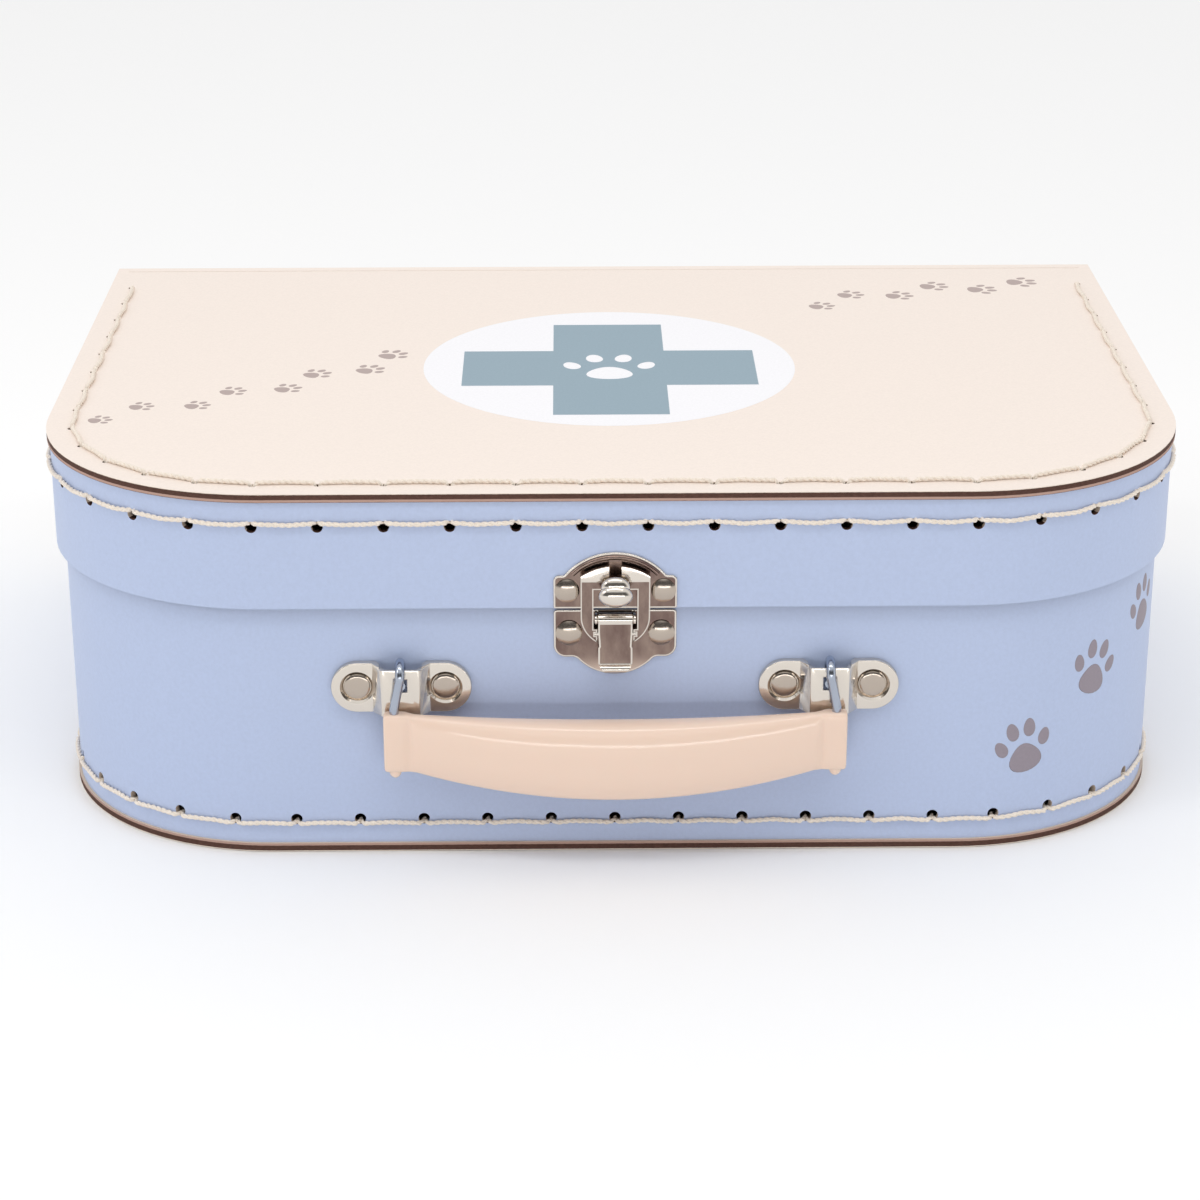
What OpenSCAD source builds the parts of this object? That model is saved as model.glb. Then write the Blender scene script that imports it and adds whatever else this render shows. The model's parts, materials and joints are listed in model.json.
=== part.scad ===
// Toy doctor case: a child's stitched paperboard case with a folding lid,
// a nickel toggle latch and a moulded handle on wire rings.
// Origin: centre of the underside. +X right, +Y to the hinge, +Z up. Millimetres.

/* [Case] */
// Width of the lid panel, left to right
case_w = 250; // [220:1:300]
// Depth of the case, front to hinge
case_d = 170; // [150:1:220]
// Overall height, closed
case_h = 83.4; // [78:0.2:120]
// Radius of the two front corners of the lid panel
corner_r = 51; // [35:1:60]
// Thickness of the panel board
panel_t = 1.9; // [1.5:0.1:2.4]
// Thickness of the board of the bands
band_t = 1.4; // [1.0:0.1:1.6]

/* [Lid] */
// Height of the lid band below the lid panel
lid_band_h = 24; // [21:0.5:28]
// Overhang of the lid panel past the lid band
lid_lip = 0.6; // [0.4:0.1:1.0]
// Room between the lid band and the base band
band_gap = 0.6; // [0.4:0.1:1.0]
// Room left under the lid panel for the stitches inside the lid
rim_drop = 8.2; // [7:0.1:9]
// Room between two boards that fold on each other
fold_gap = 0.3; // [0.2:0.05:0.5]

/* [Stitching] */
// Distance between stitch holes
stitch_pitch = 13.8; // [10:0.2:20]
// Diameter of the holes punched in the bands
band_hole_d = 2.5; // [2.0:0.1:3.0]
// Diameter of the holes punched in the panels
panel_hole_d = 1.6; // [1.3:0.1:2.2]
// Diameter of the thread
thread_d = 1.1; // [0.8:0.1:1.2]
// Distance of the band stitches from the board that they tie down
band_stitch_z = 5.0; // [4.6:0.1:5.2]
// Distance of the panel stitches from the panel edge
panel_stitch_in = 5.4; // [4:0.1:8]
// Distance from the last stitch to the hinge
stitch_end = 5; // [4:0.5:12]
// Depth to which the underside thread is drawn into the board
thread_sink = 0.5; // [0.3:0.1:0.8]

/* [Hinge side] */
// Width of the tabs folded in from the base band
tab_w = 21; // [14:1:30]
// Heights of the tab rivets above the underside
tab_rivet_z = [22, 60]; // [10:1:65]
// Distance of the tab rivets from the side of the case
tab_rivet_in = 12; // [8:1:14]
// Width of each half of the cloth strip inside the fold
strip_w = 12; // [8:1:20]
// Thickness of the cloth strip
strip_t = 0.3; // [0.2:0.05:0.4]

/* [Handle] */
// Distance between the two brackets, centre to centre
bracket_span = 91; // [84:1:120]
// Height of the brackets' centres
bracket_z = 39.2; // [34:0.2:41]
// Length of a bracket
bracket_w = 29.9; // [27:0.1:36]
// Height of a bracket
bracket_h = 11.3; // [10.8:0.1:13]
// Thickness of the bracket sheet
bracket_t = 0.8; // [0.6:0.1:1.0]
// Height of the bracket's drawn ends above the board
bracket_lift = 1.7; // [1.2:0.1:2.0]
// Width of the raised bridge
bridge_w = 8; // [7:0.5:10]
// Room behind the raised bridge
bridge_gap = 3.6; // [3.5:0.1:4.2]
// How far the top edge dips at the bridge
bridge_dip = 0.6; // [0.3:0.1:1.2]
// Height of the bar that carries the ring
bar_h = 2.1; // [1.6:0.1:2.2]
// Diameter of the handle wire
wire_d = 2; // [1.6:0.1:2.0]
// Radius of the wire ring, to the wire's centre line
ring_r = 2.6; // [2.55:0.05:2.7]
// Overall width of the handle
handle_w = 98.4; // [90:0.2:130]
// Height of the handle's end blocks
block_h = 13.2; // [11:0.2:16]
// Width of the handle's end blocks
block_w = 4.6; // [4:0.1:6]
// Depth of the handle's end blocks
block_d = 3.8; // [3.4:0.1:4.4]
// Depth of the wire in the end blocks
socket_depth = 9; // [6:0.5:11]
// Height of the grip at its middle
grip_h = 17.8; // [14:0.2:22]
// Depth of the grip at its middle
grip_d = 9.2; // [7:0.2:11]
// How far the grip bows away from the case
grip_bow = 3.6; // [2.5:0.1:8]
// How far the middle of the grip hangs below its ends
grip_drop = 2.8; // [0:0.1:5]

/* [Latch] */
// Width of the latch plates
latch_w = 26; // [24:0.2:32]
// Thickness of the latch sheet
latch_t = 0.6; // [0.5:0.05:0.7]
// Radius of the latch's round outline
latch_r = 13.8; // [13:0.1:16]
// Height of the lid plate's ears
lid_ear_h = 7.4; // [6.6:0.1:9]
// Height of the base plate's ears
base_ear_h = 10.8; // [9:0.1:13]
// Diameter of the latch pins
pin_d = 1.2; // [1.0:0.1:1.3]
// Radius of the lever's rolled barrel
barrel_r = 1.4; // [1.3:0.05:1.5]
// Length of the lever below its hinge pin
lever_l = 11.7; // [10:0.1:14]
// Width of the lever at its barrel
lever_w = 7.2; // [6:0.1:7.2]
// Distance from the lever's hinge pin to the loop's bar
throw_r = 3.2; // [3.0:0.05:3.3]
// Thickness of the loop
loop_t = 0.9; // [0.7:0.05:1.0]
// Outer width of the loop
loop_w = 14.6; // [14.2:0.1:14.8]
// Height of the loop's crown above its bar
loop_h = 16.1; // [15.6:0.1:16.4]
// Lean of the loop away from the case, in degrees
loop_lean = 8; // [7.6:0.1:8.4]
// Width of the hook's head
hook_w = 7.2; // [6.4:0.1:7.4]
// Width of the hook's neck
neck_w = 2.2; // [1.8:0.1:2.8]

/* [Hidden] */
$fn = 64;

// Colours of the finishes
cream = [0.965, 0.910, 0.875];
band_blue = [0.690, 0.745, 0.850];
thread_white = [0.980, 0.945, 0.900];
nickel = [0.780, 0.750, 0.710];
wire_grey = [0.560, 0.580, 0.620];
handle_cream = [0.945, 0.845, 0.785];
tape_cream = [0.930, 0.900, 0.860];

// Where the boards lie
front_y = -case_d / 2;
back_y = case_d / 2;
lid_under_z = case_h - panel_t;
lid_band_z = lid_under_z - lid_band_h;
base_in = lid_lip + band_t + band_gap;   // base band, in from the lid panel's edge
bottom_in = base_in - lid_lip;           // bottom panel, likewise
rim_z = lid_under_z - rim_drop;
back_top_z = lid_under_z - fold_gap;
back_w = case_w - 2 * base_in;
base_face_y = front_y + base_in;         // outer front face of the base band
lid_face_y = front_y + lid_lip;          // outer front face of the lid band
base_inner_y = base_face_y + band_t;

// Stitch lines. A station is a place along the three stitched sides.
side_run = case_d - corner_r - stitch_end;
corner_run = PI * corner_r / 2;
front_run = case_w / 2 - corner_r;
half_run = front_run + corner_run + side_run;
lid_stitches = floor((half_run - stitch_pitch / 2) / stitch_pitch);
base_stitches = floor(half_run / stitch_pitch);
lid_stations = [for (i = [0 : lid_stitches], side = [-1, 1]) side * (i + 0.5) * stitch_pitch];
base_stations = [for (i = [-base_stitches : base_stitches]) i * stitch_pitch];
lid_end = (lid_stitches + 0.5) * stitch_pitch;
base_end = base_stitches * stitch_pitch;
lid_stitch_z = lid_under_z - band_stitch_z;
base_stitch_z = panel_t + band_stitch_z;
hole_offset = 0.6;                       // the thread is drawn to one side of its band hole
leg_d = thread_d - 0.1;
thread_lift = thread_d / 2 + 0.02;       // the thread's centre line above the board it lies on
drill_l = 20;                            // a drill for rivet holes, longer than any stack of sheets

// Handle
bar_y = base_face_y - bridge_gap - bracket_t / 2;
bracket_top_z = bracket_z + bracket_h / 2;
bar_z = bracket_top_z - bridge_dip - bar_h / 2;
wire_y = bar_y - ring_r;
ring_clear = 0.35;
eye_turn = 275;                          // how far the wire curls round the bar, in degrees
wire_play = 0.05;
block_x = handle_w / 2 - block_w / 2;
block_top_z = bracket_z - 3.8;
bend_z = block_top_z + 1;
rivet_pitch = 18.8;
rivet_head_d = 6.1;
rivet_shank_d = 3;
washer_d = 7;
washer_t = 0.6;

// Latch
lid_plate_y = lid_face_y - latch_t;
base_plate_y = base_face_y - latch_t;
plate_gap = 1.1;                         // between the lid plate and the base plate
base_plate_z = lid_band_z - plate_gap;   // top edge of the base plate
pin_y = base_plate_y - 0.5 - barrel_r;
pin_z = base_plate_z - barrel_r;
pin_play = 0.05;
loop_y = pin_y;                          // the bar hangs straight below the hinge pin
loop_z = pin_z - throw_r;
loop_foot = 1.2;                         // foot of the loop above its bar
loop_window_w = 9.2;
loop_window_top = 10.8;
neck_play = 0.2;
knuckle_t = 0.6;
knuckle_x = lever_w / 2 + 0.15;
hook_z = lid_band_z + 2.3;               // lower side of the neck
neck_t = 1.6;
hook_back_y = lid_plate_y - 4.0;         // inner face of the hook's head
foot_low = 14.8;                         // bottom of the base plate's foot, below its top edge
foot_r = 10.6;
foot_fillet_r = 2;
latch_rivet_d = 5.2;
latch_rivet_x = latch_w / 2 - 2.85;

// ---- shared shapes ----

// Plan of the case, drawn in by some distance, square at the hinge side
module plan(inset, rear_y = back_y) {
    corner_y = front_y + corner_r;
    corner_x = case_w / 2 - corner_r;
    translate([-case_w / 2 + inset, corner_y])
        square([case_w - 2 * inset, rear_y - corner_y]);
    translate([-corner_x, front_y + inset])
        square([2 * corner_x, corner_r]);
    for (side = [-1, 1])
        translate([side * corner_x, corner_y])
            circle(r = corner_r - inset, $fn = 96);
}

// A wall that follows the plan on three sides
module plan_wall(inset, thickness, height, rear_y) {
    linear_extrude(height)
        difference() {
            plan(inset, rear_y);
            plan(inset + thickness, rear_y + 1);
        }
}

// Puts its children at a station: -Y outward, on the plan drawn in by some distance
module at_station(run, inset) {
    side = sign(run);
    past_front = abs(run) - front_run;
    past_corner = past_front - corner_run;
    turn = past_front <= 0 ? 0 : min(90, past_front / corner_r * 180 / PI);
    x = past_front <= 0 ? run : side * front_run;
    y = front_y + corner_r + max(0, past_corner);
    translate([x, y, 0])
        rotate([0, 0, side * turn])
            translate([0, -(corner_r - inset), 0])
                children();
}

// Round holes through a band at its stations
module band_holes(stations, inset, z) {
    for (run = stations)
        at_station(run, inset)
            translate([0, -1, z])
                rotate([-90, 0, 0])
                    cylinder(d = band_hole_d, h = band_t + 2, $fn = 24);
}

// Round holes through a panel at its stations
module panel_holes(stations, z) {
    for (run = stations)
        at_station(run, panel_stitch_in)
            translate([0, 0, z - 1])
                cylinder(d = panel_hole_d, h = panel_t + 2, $fn = 24);
}

// Thread laid along the three stitched sides, from end station to end station
module thread_line(inset, z, end_run) {
    past_corner = end_run - front_run - corner_run;
    corner_y = front_y + corner_r;
    translate([-front_run, front_y + inset, z])
        rotate([0, 90, 0])
            cylinder(d = thread_d, h = 2 * front_run);
    for (side = [-1, 1]) {
        translate([side * front_run, corner_y, z])
            rotate([0, 0, side > 0 ? -90 : 180])
                rotate_extrude(angle = 90, $fn = 96)
                    translate([corner_r - inset, 0])
                        circle(d = thread_d);
        translate([side * (case_w / 2 - inset), corner_y, z])
            rotate([-90, 0, 0])
                cylinder(d = thread_d, h = past_corner);
    }
}

// The thread's legs through a band
module band_legs(stations, inset, z) {
    for (run = stations)
        at_station(run, inset - thread_lift)
            translate([0, 0, z])
                rotate([-90, 0, 0])
                    cylinder(d = leg_d, h = band_t + thread_lift, $fn = 24);
}

// The thread's legs through a panel
module panel_legs(stations, z, height) {
    for (run = stations)
        at_station(run, panel_stitch_in)
            translate([0, 0, z])
                cylinder(d = leg_d, h = height, $fn = 24);
}

// A shape drawn as seen from the front, raised outward from a face
module on_face(face_y, thickness) {
    translate([0, face_y, 0])
        rotate([90, 0, 0])
            linear_extrude(thickness)
                children();
}

// A shape drawn as seen from the side, as [y, z], carried along X
module along_x(x_from, x_to) {
    translate([x_from, 0, 0])
        rotate([90, 0, 90])
            linear_extrude(x_to - x_from)
                children();
}

// A rectangle with round corners, from its lower left corner
module round_rect(size, r) {
    translate([r, 0])
        square([size[0] - 2 * r, size[1]]);
    translate([0, r])
        square([size[0], size[1] - 2 * r]);
    for (x = [r, size[0] - r], y = [r, size[1] - r])
        translate([x, y])
            circle(r = r);
}

// A rivet along Y: its head stands out from face_y, its shank runs inward
module rivet(x, face_y, z, head_d, head_h, shank_d, length, tail_d, tail_h) {
    translate([x, face_y, z])
        rotate([90, 0, 0]) {
            intersection() {
                cylinder(d = head_d, h = head_h);
                translate([0, 0, head_h - head_d])
                    sphere(r = head_d);
            }
            translate([0, 0, -length])
                cylinder(d = shank_d, h = length + head_h / 2);
            translate([0, 0, -length - tail_h])
                cylinder(d = tail_d, h = tail_h);
        }
}

// ---- the base ----

// One sheet: the bottom panel, folded up at the hinge side into the back wall
module bottom_and_back_panel() {
    fold_r = 1;
    color(cream)
        difference() {
            union() {
                linear_extrude(panel_t)
                    plan(bottom_in, back_y - fold_r);
                along_x(-back_w / 2, back_w / 2) {
                    translate([back_y - fold_r, fold_r])
                        circle(r = fold_r);
                    translate([back_y - panel_t, fold_r])
                        square([panel_t, back_top_z - fold_r]);
                    translate([back_y - panel_t - 1, 0])
                        square([panel_t + 1 - fold_r, panel_t]);
                }
            }
            panel_holes(base_stations, 0);
            bottom_groove();
            tab_rivet_places()
                cylinder(d = rivet_shank_d, h = drill_l, center = true);
        }
}

// The flattened path of the underside thread
module bottom_groove() {
    end_y = front_y + corner_r + base_end - front_run - corner_run;
    translate([0, 0, -1])
        plan_wall(panel_stitch_in - thread_d / 2, thread_d, 1 + thread_sink, end_y);
}

module bottom_thread() {
    end_y = front_y + corner_r + base_end - front_run - corner_run;
    color(thread_white) {
        plan_wall(panel_stitch_in - thread_d / 2, thread_d, thread_sink, end_y);
        panel_legs(base_stations, thread_sink / 2, panel_t - thread_sink / 2);
    }
}

// The base wall: one strip bent round the front, its ends folded in behind
module base_band() {
    inner_x = case_w / 2 - base_in - band_t;
    tab_y = back_y - panel_t - band_t;
    wall_z = panel_t;
    color(band_blue)
        difference() {
            union() {
                translate([0, 0, wall_z])
                    plan_wall(base_in, band_t, rim_z - wall_z, back_y - panel_t);
                for (side = [-1, 1])
                    translate([side * (inner_x - tab_w / 2), tab_y + band_t / 2, (rim_z + wall_z) / 2])
                        cube([tab_w + 0.2, band_t, rim_z - wall_z], center = true);
            }
            band_holes(base_stations, base_in, base_stitch_z + hole_offset);
            tab_rivet_places()
                cylinder(d = rivet_shank_d, h = drill_l, center = true);
            bracket_rivet_places()
                cylinder(d = rivet_shank_d, h = drill_l, center = true);
            latch_base_rivet_places()
                cylinder(d = rivet_shank_d - 0.6, h = drill_l, center = true);
        }
}

module base_band_thread() {
    color(thread_white) {
        thread_line(base_in - thread_lift, base_stitch_z, base_end);
        band_legs(base_stations, base_in, base_stitch_z);
    }
}

// Places of the rivets that hold the folded tabs to the back wall, along Y
module tab_rivet_places() {
    for (side = [-1, 1], z = tab_rivet_z)
        translate([side * (back_w / 2 - tab_rivet_in), back_y, z])
            rotate([90, 0, 0])
                children();
}

module tab_rivets() {
    stack_t = panel_t + band_t;
    color(nickel)
        for (side = [-1, 1], z = tab_rivet_z)
            mirror([0, 1, 0])
                rivet(side * (back_w / 2 - tab_rivet_in), -back_y, z,
                      6, 1.1, rivet_shank_d, stack_t, 5, 0.6);
}

// The cloth strip inside the fold: the half glued to the back wall
module crease_strip_back() {
    inner_y = back_y - panel_t;
    clear_w = back_w - 2 * (band_t + tab_w) - 2;
    color(tape_cream)
        translate([-clear_w / 2, inner_y - strip_t, back_top_z - strip_w])
            cube([clear_w, strip_t, strip_w]);
}

// ---- the lid ----

module lid_panel() {
    color(cream)
        difference() {
            translate([0, 0, lid_under_z])
                linear_extrude(panel_t)
                    plan(0);
            panel_holes(lid_stations, lid_under_z);
        }
}

module lid_band() {
    color(band_blue)
        difference() {
            translate([0, 0, lid_band_z])
                plan_wall(lid_lip, band_t, lid_band_h, back_y - lid_lip);
            band_holes(lid_stations, lid_lip, lid_stitch_z - hole_offset);
            latch_lid_rivet_places()
                cylinder(d = rivet_shank_d - 0.6, h = drill_l, center = true);
        }
}

module lid_band_thread() {
    color(thread_white) {
        thread_line(lid_lip - thread_lift, lid_stitch_z, lid_end);
        band_legs(lid_stations, lid_lip, lid_stitch_z);
    }
}

module lid_panel_thread() {
    color(thread_white) {
        thread_line(panel_stitch_in, case_h + thread_lift, lid_end);
        panel_legs(lid_stations, lid_under_z, panel_t + thread_lift);
    }
}

// The half of the cloth strip glued under the lid panel
module crease_strip_lid() {
    clear_w = back_w - 2 * (band_t + tab_w) - 2;
    color(tape_cream)
        translate([-clear_w / 2, back_y - panel_t - strip_t - strip_w, lid_under_z - strip_t])
            cube([clear_w, strip_w, strip_t]);
}

// ---- the handle ----

// Outline of a bracket from the front, round at both ends, dipped at the bridge
module bracket_outline() {
    end_r = bracket_h / 2;
    difference() {
        round_rect([bracket_w, bracket_h], end_r - 0.01);
        translate([bracket_w / 2 - bridge_w / 2 - 0.5, bracket_h - bridge_dip])
            square([bridge_w + 1, bridge_dip + 1]);
    }
}

// A bracket: sheet pressed up in the middle into a bridge, slotted for the ring
module handle_bracket(side) {
    x = side * bracket_span / 2;
    out = bridge_gap + bracket_t;
    foot = bridge_w / 2 + 2.2;
    slot_w = wire_d + 2 * ring_clear;
    slot_top = bar_z - bar_h / 2;
    slot_low = bar_z - ring_r - wire_d / 2 - ring_clear;
    color(nickel)
        difference() {
            intersection() {
                translate([x - bracket_w / 2, 0, bracket_z - bracket_h / 2])
                    on_face(base_face_y, out + 1)
                        bracket_outline();
                // section of the pressed sheet, seen from above
                translate([x, base_face_y, bracket_z - bracket_h])
                    linear_extrude(2 * bracket_h)
                        polygon([
                            [-bracket_w, 0], [-bracket_w, -bracket_lift],
                            [-foot, -bracket_lift], [-bridge_w / 2, -out],
                            [bridge_w / 2, -out], [foot, -bracket_lift],
                            [bracket_w, -bracket_lift], [bracket_w, 0],
                            [foot - bracket_t, 0], [bridge_w / 2 - bracket_t, -bridge_gap],
                            [-bridge_w / 2 + bracket_t, -bridge_gap], [-foot + bracket_t, 0]
                        ]);
            }
            translate([x - slot_w / 2, base_face_y - out - 1, slot_low])
                cube([slot_w, out, slot_top - slot_low]);
            bracket_rivet_places()
                cylinder(d = rivet_shank_d, h = drill_l, center = true);
        }
}

// Places of the bracket rivets, along Y
module bracket_rivet_places() {
    for (side = [-1, 1], end = [-1, 1])
        translate([side * bracket_span / 2 + end * rivet_pitch / 2, base_face_y, bracket_z])
            rotate([90, 0, 0])
                children();
}

module bracket_rivets() {
    head_h = 1.5;
    shoulder_r = 0.7;
    color(nickel)
        for (side = [-1, 1], end = [-1, 1])
            translate([side * bracket_span / 2 + end * rivet_pitch / 2, base_face_y, bracket_z])
                rotate([90, 0, 0]) {
                    translate([0, 0, bracket_lift])
                        cylinder(d = rivet_head_d, h = head_h - shoulder_r);
                    translate([0, 0, bracket_lift + head_h - shoulder_r])
                        rotate_extrude() {
                            square([rivet_head_d / 2 - shoulder_r, shoulder_r]);
                            intersection() {
                                translate([rivet_head_d / 2 - shoulder_r, 0])
                                    circle(r = shoulder_r);
                                square([rivet_head_d, shoulder_r]);
                            }
                        }
                    translate([0, 0, -band_t - washer_t])
                        cylinder(d = rivet_shank_d, h = band_t + washer_t + bracket_lift + 0.2);
                    translate([0, 0, -band_t - washer_t - 0.8])
                        cylinder(d = 5, h = 0.8);
                }
}

// Plain washers under the rivet tails, inside the case
module bracket_washers() {
    color(nickel)
        for (side = [-1, 1], end = [-1, 1])
            translate([side * bracket_span / 2 + end * rivet_pitch / 2, base_inner_y, bracket_z])
                rotate([-90, 0, 0])
                    difference() {
                        cylinder(d = washer_d, h = washer_t);
                        translate([0, 0, -1])
                            cylinder(d = rivet_shank_d, h = washer_t + 2);
                    }
}

// Wire: an eye curled round the bracket's bar, then a leg down into the end block
module handle_wire(side) {
    eye_x = side * bracket_span / 2;
    leg_x = side * block_x;
    run_x = leg_x - eye_x;
    run_z = bar_z - bend_z;
    run_l = sqrt(run_x * run_x + run_z * run_z);
    bend_d = wire_d + 0.06;
    color(wire_grey) {
        // the curl runs up over the bar, down behind it and back through the slot
        translate([eye_x, bar_y, bar_z])
            rotate([0, 90, 0])
                rotate([0, 0, -90 - eye_turn])
                    rotate_extrude(angle = eye_turn)
                        translate([ring_r, 0])
                            circle(d = wire_d);
        translate([eye_x, wire_y, bar_z])
            sphere(d = bend_d);
        translate([leg_x, wire_y, bend_z]) {
            sphere(d = bend_d);
            rotate([0, -atan2(run_x, run_z), 0])
                cylinder(d = wire_d, h = run_l);
        }
        translate([leg_x, wire_y, block_top_z - socket_depth])
            cylinder(d = wire_d, h = bend_z - block_top_z + socket_depth);
    }
}

// Half the grip's length between its end blocks
grip_half = handle_w / 2 - block_w;
grip_rings = 20;
grip_sides = 28;
grip_square = 2.6;                       // 2 is an ellipse, more is squarer
block_mid_z = block_top_z - block_h / 2;

// A point of the grip's skin: t runs from -1 to 1 along it, a goes round it
function grip_point(t, a) =
    let (
        swell = 1 - t * t,
        half_h = block_h / 2 - 0.2 + swell * (grip_h - block_h + 0.4) / 2,
        half_d = block_d / 2 - 0.2 + swell * (grip_d - block_d + 0.4) / 2,
        c = cos(a),
        s = sin(a)
    )
    [
        t * (grip_half + 0.5),
        wire_y - swell * grip_bow + half_d * sign(c) * pow(abs(c), 2 / grip_square),
        block_mid_z - swell * grip_drop + half_h * sign(s) * pow(abs(s), 2 / grip_square)
    ];

module grip_body() {
    points = [
        for (i = [0 : grip_rings], j = [0 : grip_sides - 1])
            grip_point(2 * i / grip_rings - 1, j * 360 / grip_sides)
    ];
    skin = [
        for (i = [0 : grip_rings - 1], j = [0 : grip_sides - 1])
            let (k = (j + 1) % grip_sides, a = i * grip_sides, b = a + grip_sides)
            each [[a + j, b + j, b + k], [a + j, b + k, a + k]]
    ];
    start_cap = [for (j = [0 : grip_sides - 1]) j];
    end_cap = [for (j = [grip_sides - 1 : -1 : 0]) grip_rings * grip_sides + j];
    polyhedron(points, concat(skin, [start_cap, end_cap]), convexity = 4);
}

// The moulded handle: a swelling grip between two end blocks with wire sockets
module handle_grip() {
    nub_r = 1.1;
    color(handle_cream)
        difference() {
            union() {
                grip_body();
                for (side = [-1, 1])
                    translate([side * block_x, wire_y, 0]) {
                        translate([-block_w / 2, -block_d / 2, block_top_z - block_h])
                            cube([block_w, block_d, block_h]);
                        translate([0, 0, block_top_z - block_h])
                            sphere(r = nub_r);
                    }
            }
            for (side = [-1, 1])
                translate([side * block_x, wire_y, block_top_z - socket_depth - wire_play])
                    cylinder(d = wire_d + 2 * wire_play, h = socket_depth + 1);
        }
}

// ---- the latch ----

module latch_base_rivet_places() {
    for (side = [-1, 1])
        translate([side * (latch_rivet_x - 0.4), base_face_y, base_plate_z - 5.2])
            rotate([90, 0, 0])
                children();
}

module latch_lid_rivet_places() {
    for (side = [-1, 1])
        translate([side * latch_rivet_x, lid_face_y, lid_band_z + 4.1])
            rotate([90, 0, 0])
                children();
}

// Base plate: two ears, a round foot, and two knuckles bent out for the hinge pin
module latch_base_plate() {
    ear_z = base_plate_z - base_ear_h;
    foot_z = base_plate_z - foot_low + foot_r;
    fillet_z = ear_z - foot_fillet_r + 0.02;
    fillet_x = sqrt(pow(foot_r + foot_fillet_r, 2) - pow(foot_z - fillet_z, 2));
    meet = foot_r / (foot_r + foot_fillet_r);
    color(nickel)
        difference() {
            union() {
                on_face(base_face_y, latch_t) {
                    translate([-latch_w / 2, ear_z])
                        round_rect([latch_w, base_ear_h], 2.6);
                    translate([-latch_w / 2, base_plate_z - 4])
                        round_rect([latch_w, 4], 0.8);
                    intersection() {
                        translate([0, foot_z])
                            circle(r = foot_r, $fn = 96);
                        translate([-foot_r, foot_z - foot_r])
                            square([2 * foot_r, foot_r + 1]);
                    }
                    // hollow curves between the ears and the foot
                    for (side = [-1, 1])
                        difference() {
                            polygon([
                                [side * (meet * fillet_x - 1.5), ear_z + 1], [side * fillet_x, ear_z + 1],
                                [side * fillet_x, fillet_z],
                                [side * (meet * fillet_x - 0.1), foot_z - meet * (foot_z - fillet_z) + 0.1]
                            ]);
                            translate([side * fillet_x, fillet_z])
                                circle(r = foot_fillet_r);
                        }
                }
                for (side = [-1, 1])
                    along_x(side > 0 ? knuckle_x : -knuckle_x - knuckle_t,
                            side > 0 ? knuckle_x + knuckle_t : -knuckle_x) {
                        translate([pin_y, pin_z])
                            circle(r = 1.1);
                        translate([pin_y, pin_z - 1.1])
                            square([base_face_y - latch_t / 2 - pin_y, 2.2]);
                    }
            }
            along_x(-latch_w, latch_w)
                translate([pin_y, pin_z])
                    circle(d = pin_d);
            latch_base_rivet_places()
                cylinder(d = rivet_shank_d - 0.6, h = drill_l, center = true);
        }
}

module latch_base_rivets() {
    color(nickel)
        for (side = [-1, 1])
            rivet(side * (latch_rivet_x - 0.4), base_plate_y, base_plate_z - 5.2,
                  latch_rivet_d + 0.4, 1.1, rivet_shank_d - 0.6, band_t + latch_t, 4.4, 0.6);
}

module latch_hinge_pin() {
    reach = knuckle_x + knuckle_t;
    color(nickel)
        along_x(-reach, reach)
            translate([pin_y, pin_z])
                circle(d = pin_d);
}

// Lid plate: two ears, an arch with a raised rim, and the hook
module latch_lid_plate() {
    arch_z = lid_band_z - 1.2;
    arch_w = 21.1;
    rim_r = 0.8;
    rim_line_r = latch_r - rim_r - 0.1;
    color(nickel)
        difference() {
            union() {
                on_face(lid_face_y, latch_t) {
                    translate([-latch_w / 2, lid_band_z])
                        round_rect([latch_w, lid_ear_h], 1.2);
                    translate([-latch_w / 2, lid_band_z])
                        round_rect([latch_w, 3], 0.4);
                    intersection() {
                        translate([0, arch_z])
                            circle(r = latch_r, $fn = 96);
                        translate([-arch_w / 2, lid_band_z])
                            square([arch_w, 16]);
                    }
                }
                // raised rim along the arch
                translate([0, lid_plate_y, arch_z])
                    rotate([90, 0, 0])
                        rotate([0, 0, 46])
                            rotate_extrude(angle = 88, $fn = 96)
                                translate([rim_line_r, 0])
                                    intersection() {
                                        circle(r = rim_r);
                                        translate([-rim_r, -latch_t / 2])
                                            square([2 * rim_r, 2 * rim_r]);
                                    }
                hook();
            }
            latch_lid_rivet_places()
                cylinder(d = rivet_shank_d - 0.6, h = drill_l, center = true);
        }
}

// The hook: a narrow neck and a knob of two domes in front of the loop
module hook() {
    low_z = hook_z - 0.5;
    high_z = hook_z + 6.5;
    knob_rise = 2.4;
    knob_z = low_z + 2;
    lobe_r = 2.9;
    lobe_rise = 1.5;
    along_x(-neck_w / 2, neck_w / 2)
        translate([hook_back_y - 0.6, hook_z])
            square([lid_plate_y - hook_back_y + 0.6 + latch_t / 2, neck_t]);
    intersection() {
        union() {
            dome(knob_z, hook_w / 2, knob_rise);
            dome(high_z - lobe_r, lobe_r, lobe_rise);
        }
        translate([-hook_w, hook_back_y - 2 * knob_rise, low_z])
            cube([2 * hook_w, 2 * knob_rise, high_z]);
    }
}

// A ball that stands out by some rise, and by some radius, from the plane of the hook's back
module dome(z, radius, rise) {
    ball_r = (radius * radius + rise * rise) / (2 * rise);
    translate([0, hook_back_y - rise + ball_r, z])
        sphere(r = ball_r, $fn = 96);
}

module latch_lid_rivets() {
    color(nickel)
        for (side = [-1, 1])
            rivet(side * latch_rivet_x, lid_plate_y, lid_band_z + 4.1,
                  latch_rivet_d, 0.9, rivet_shank_d - 0.6, band_t + latch_t, 4.4, 0.3);
}

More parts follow.
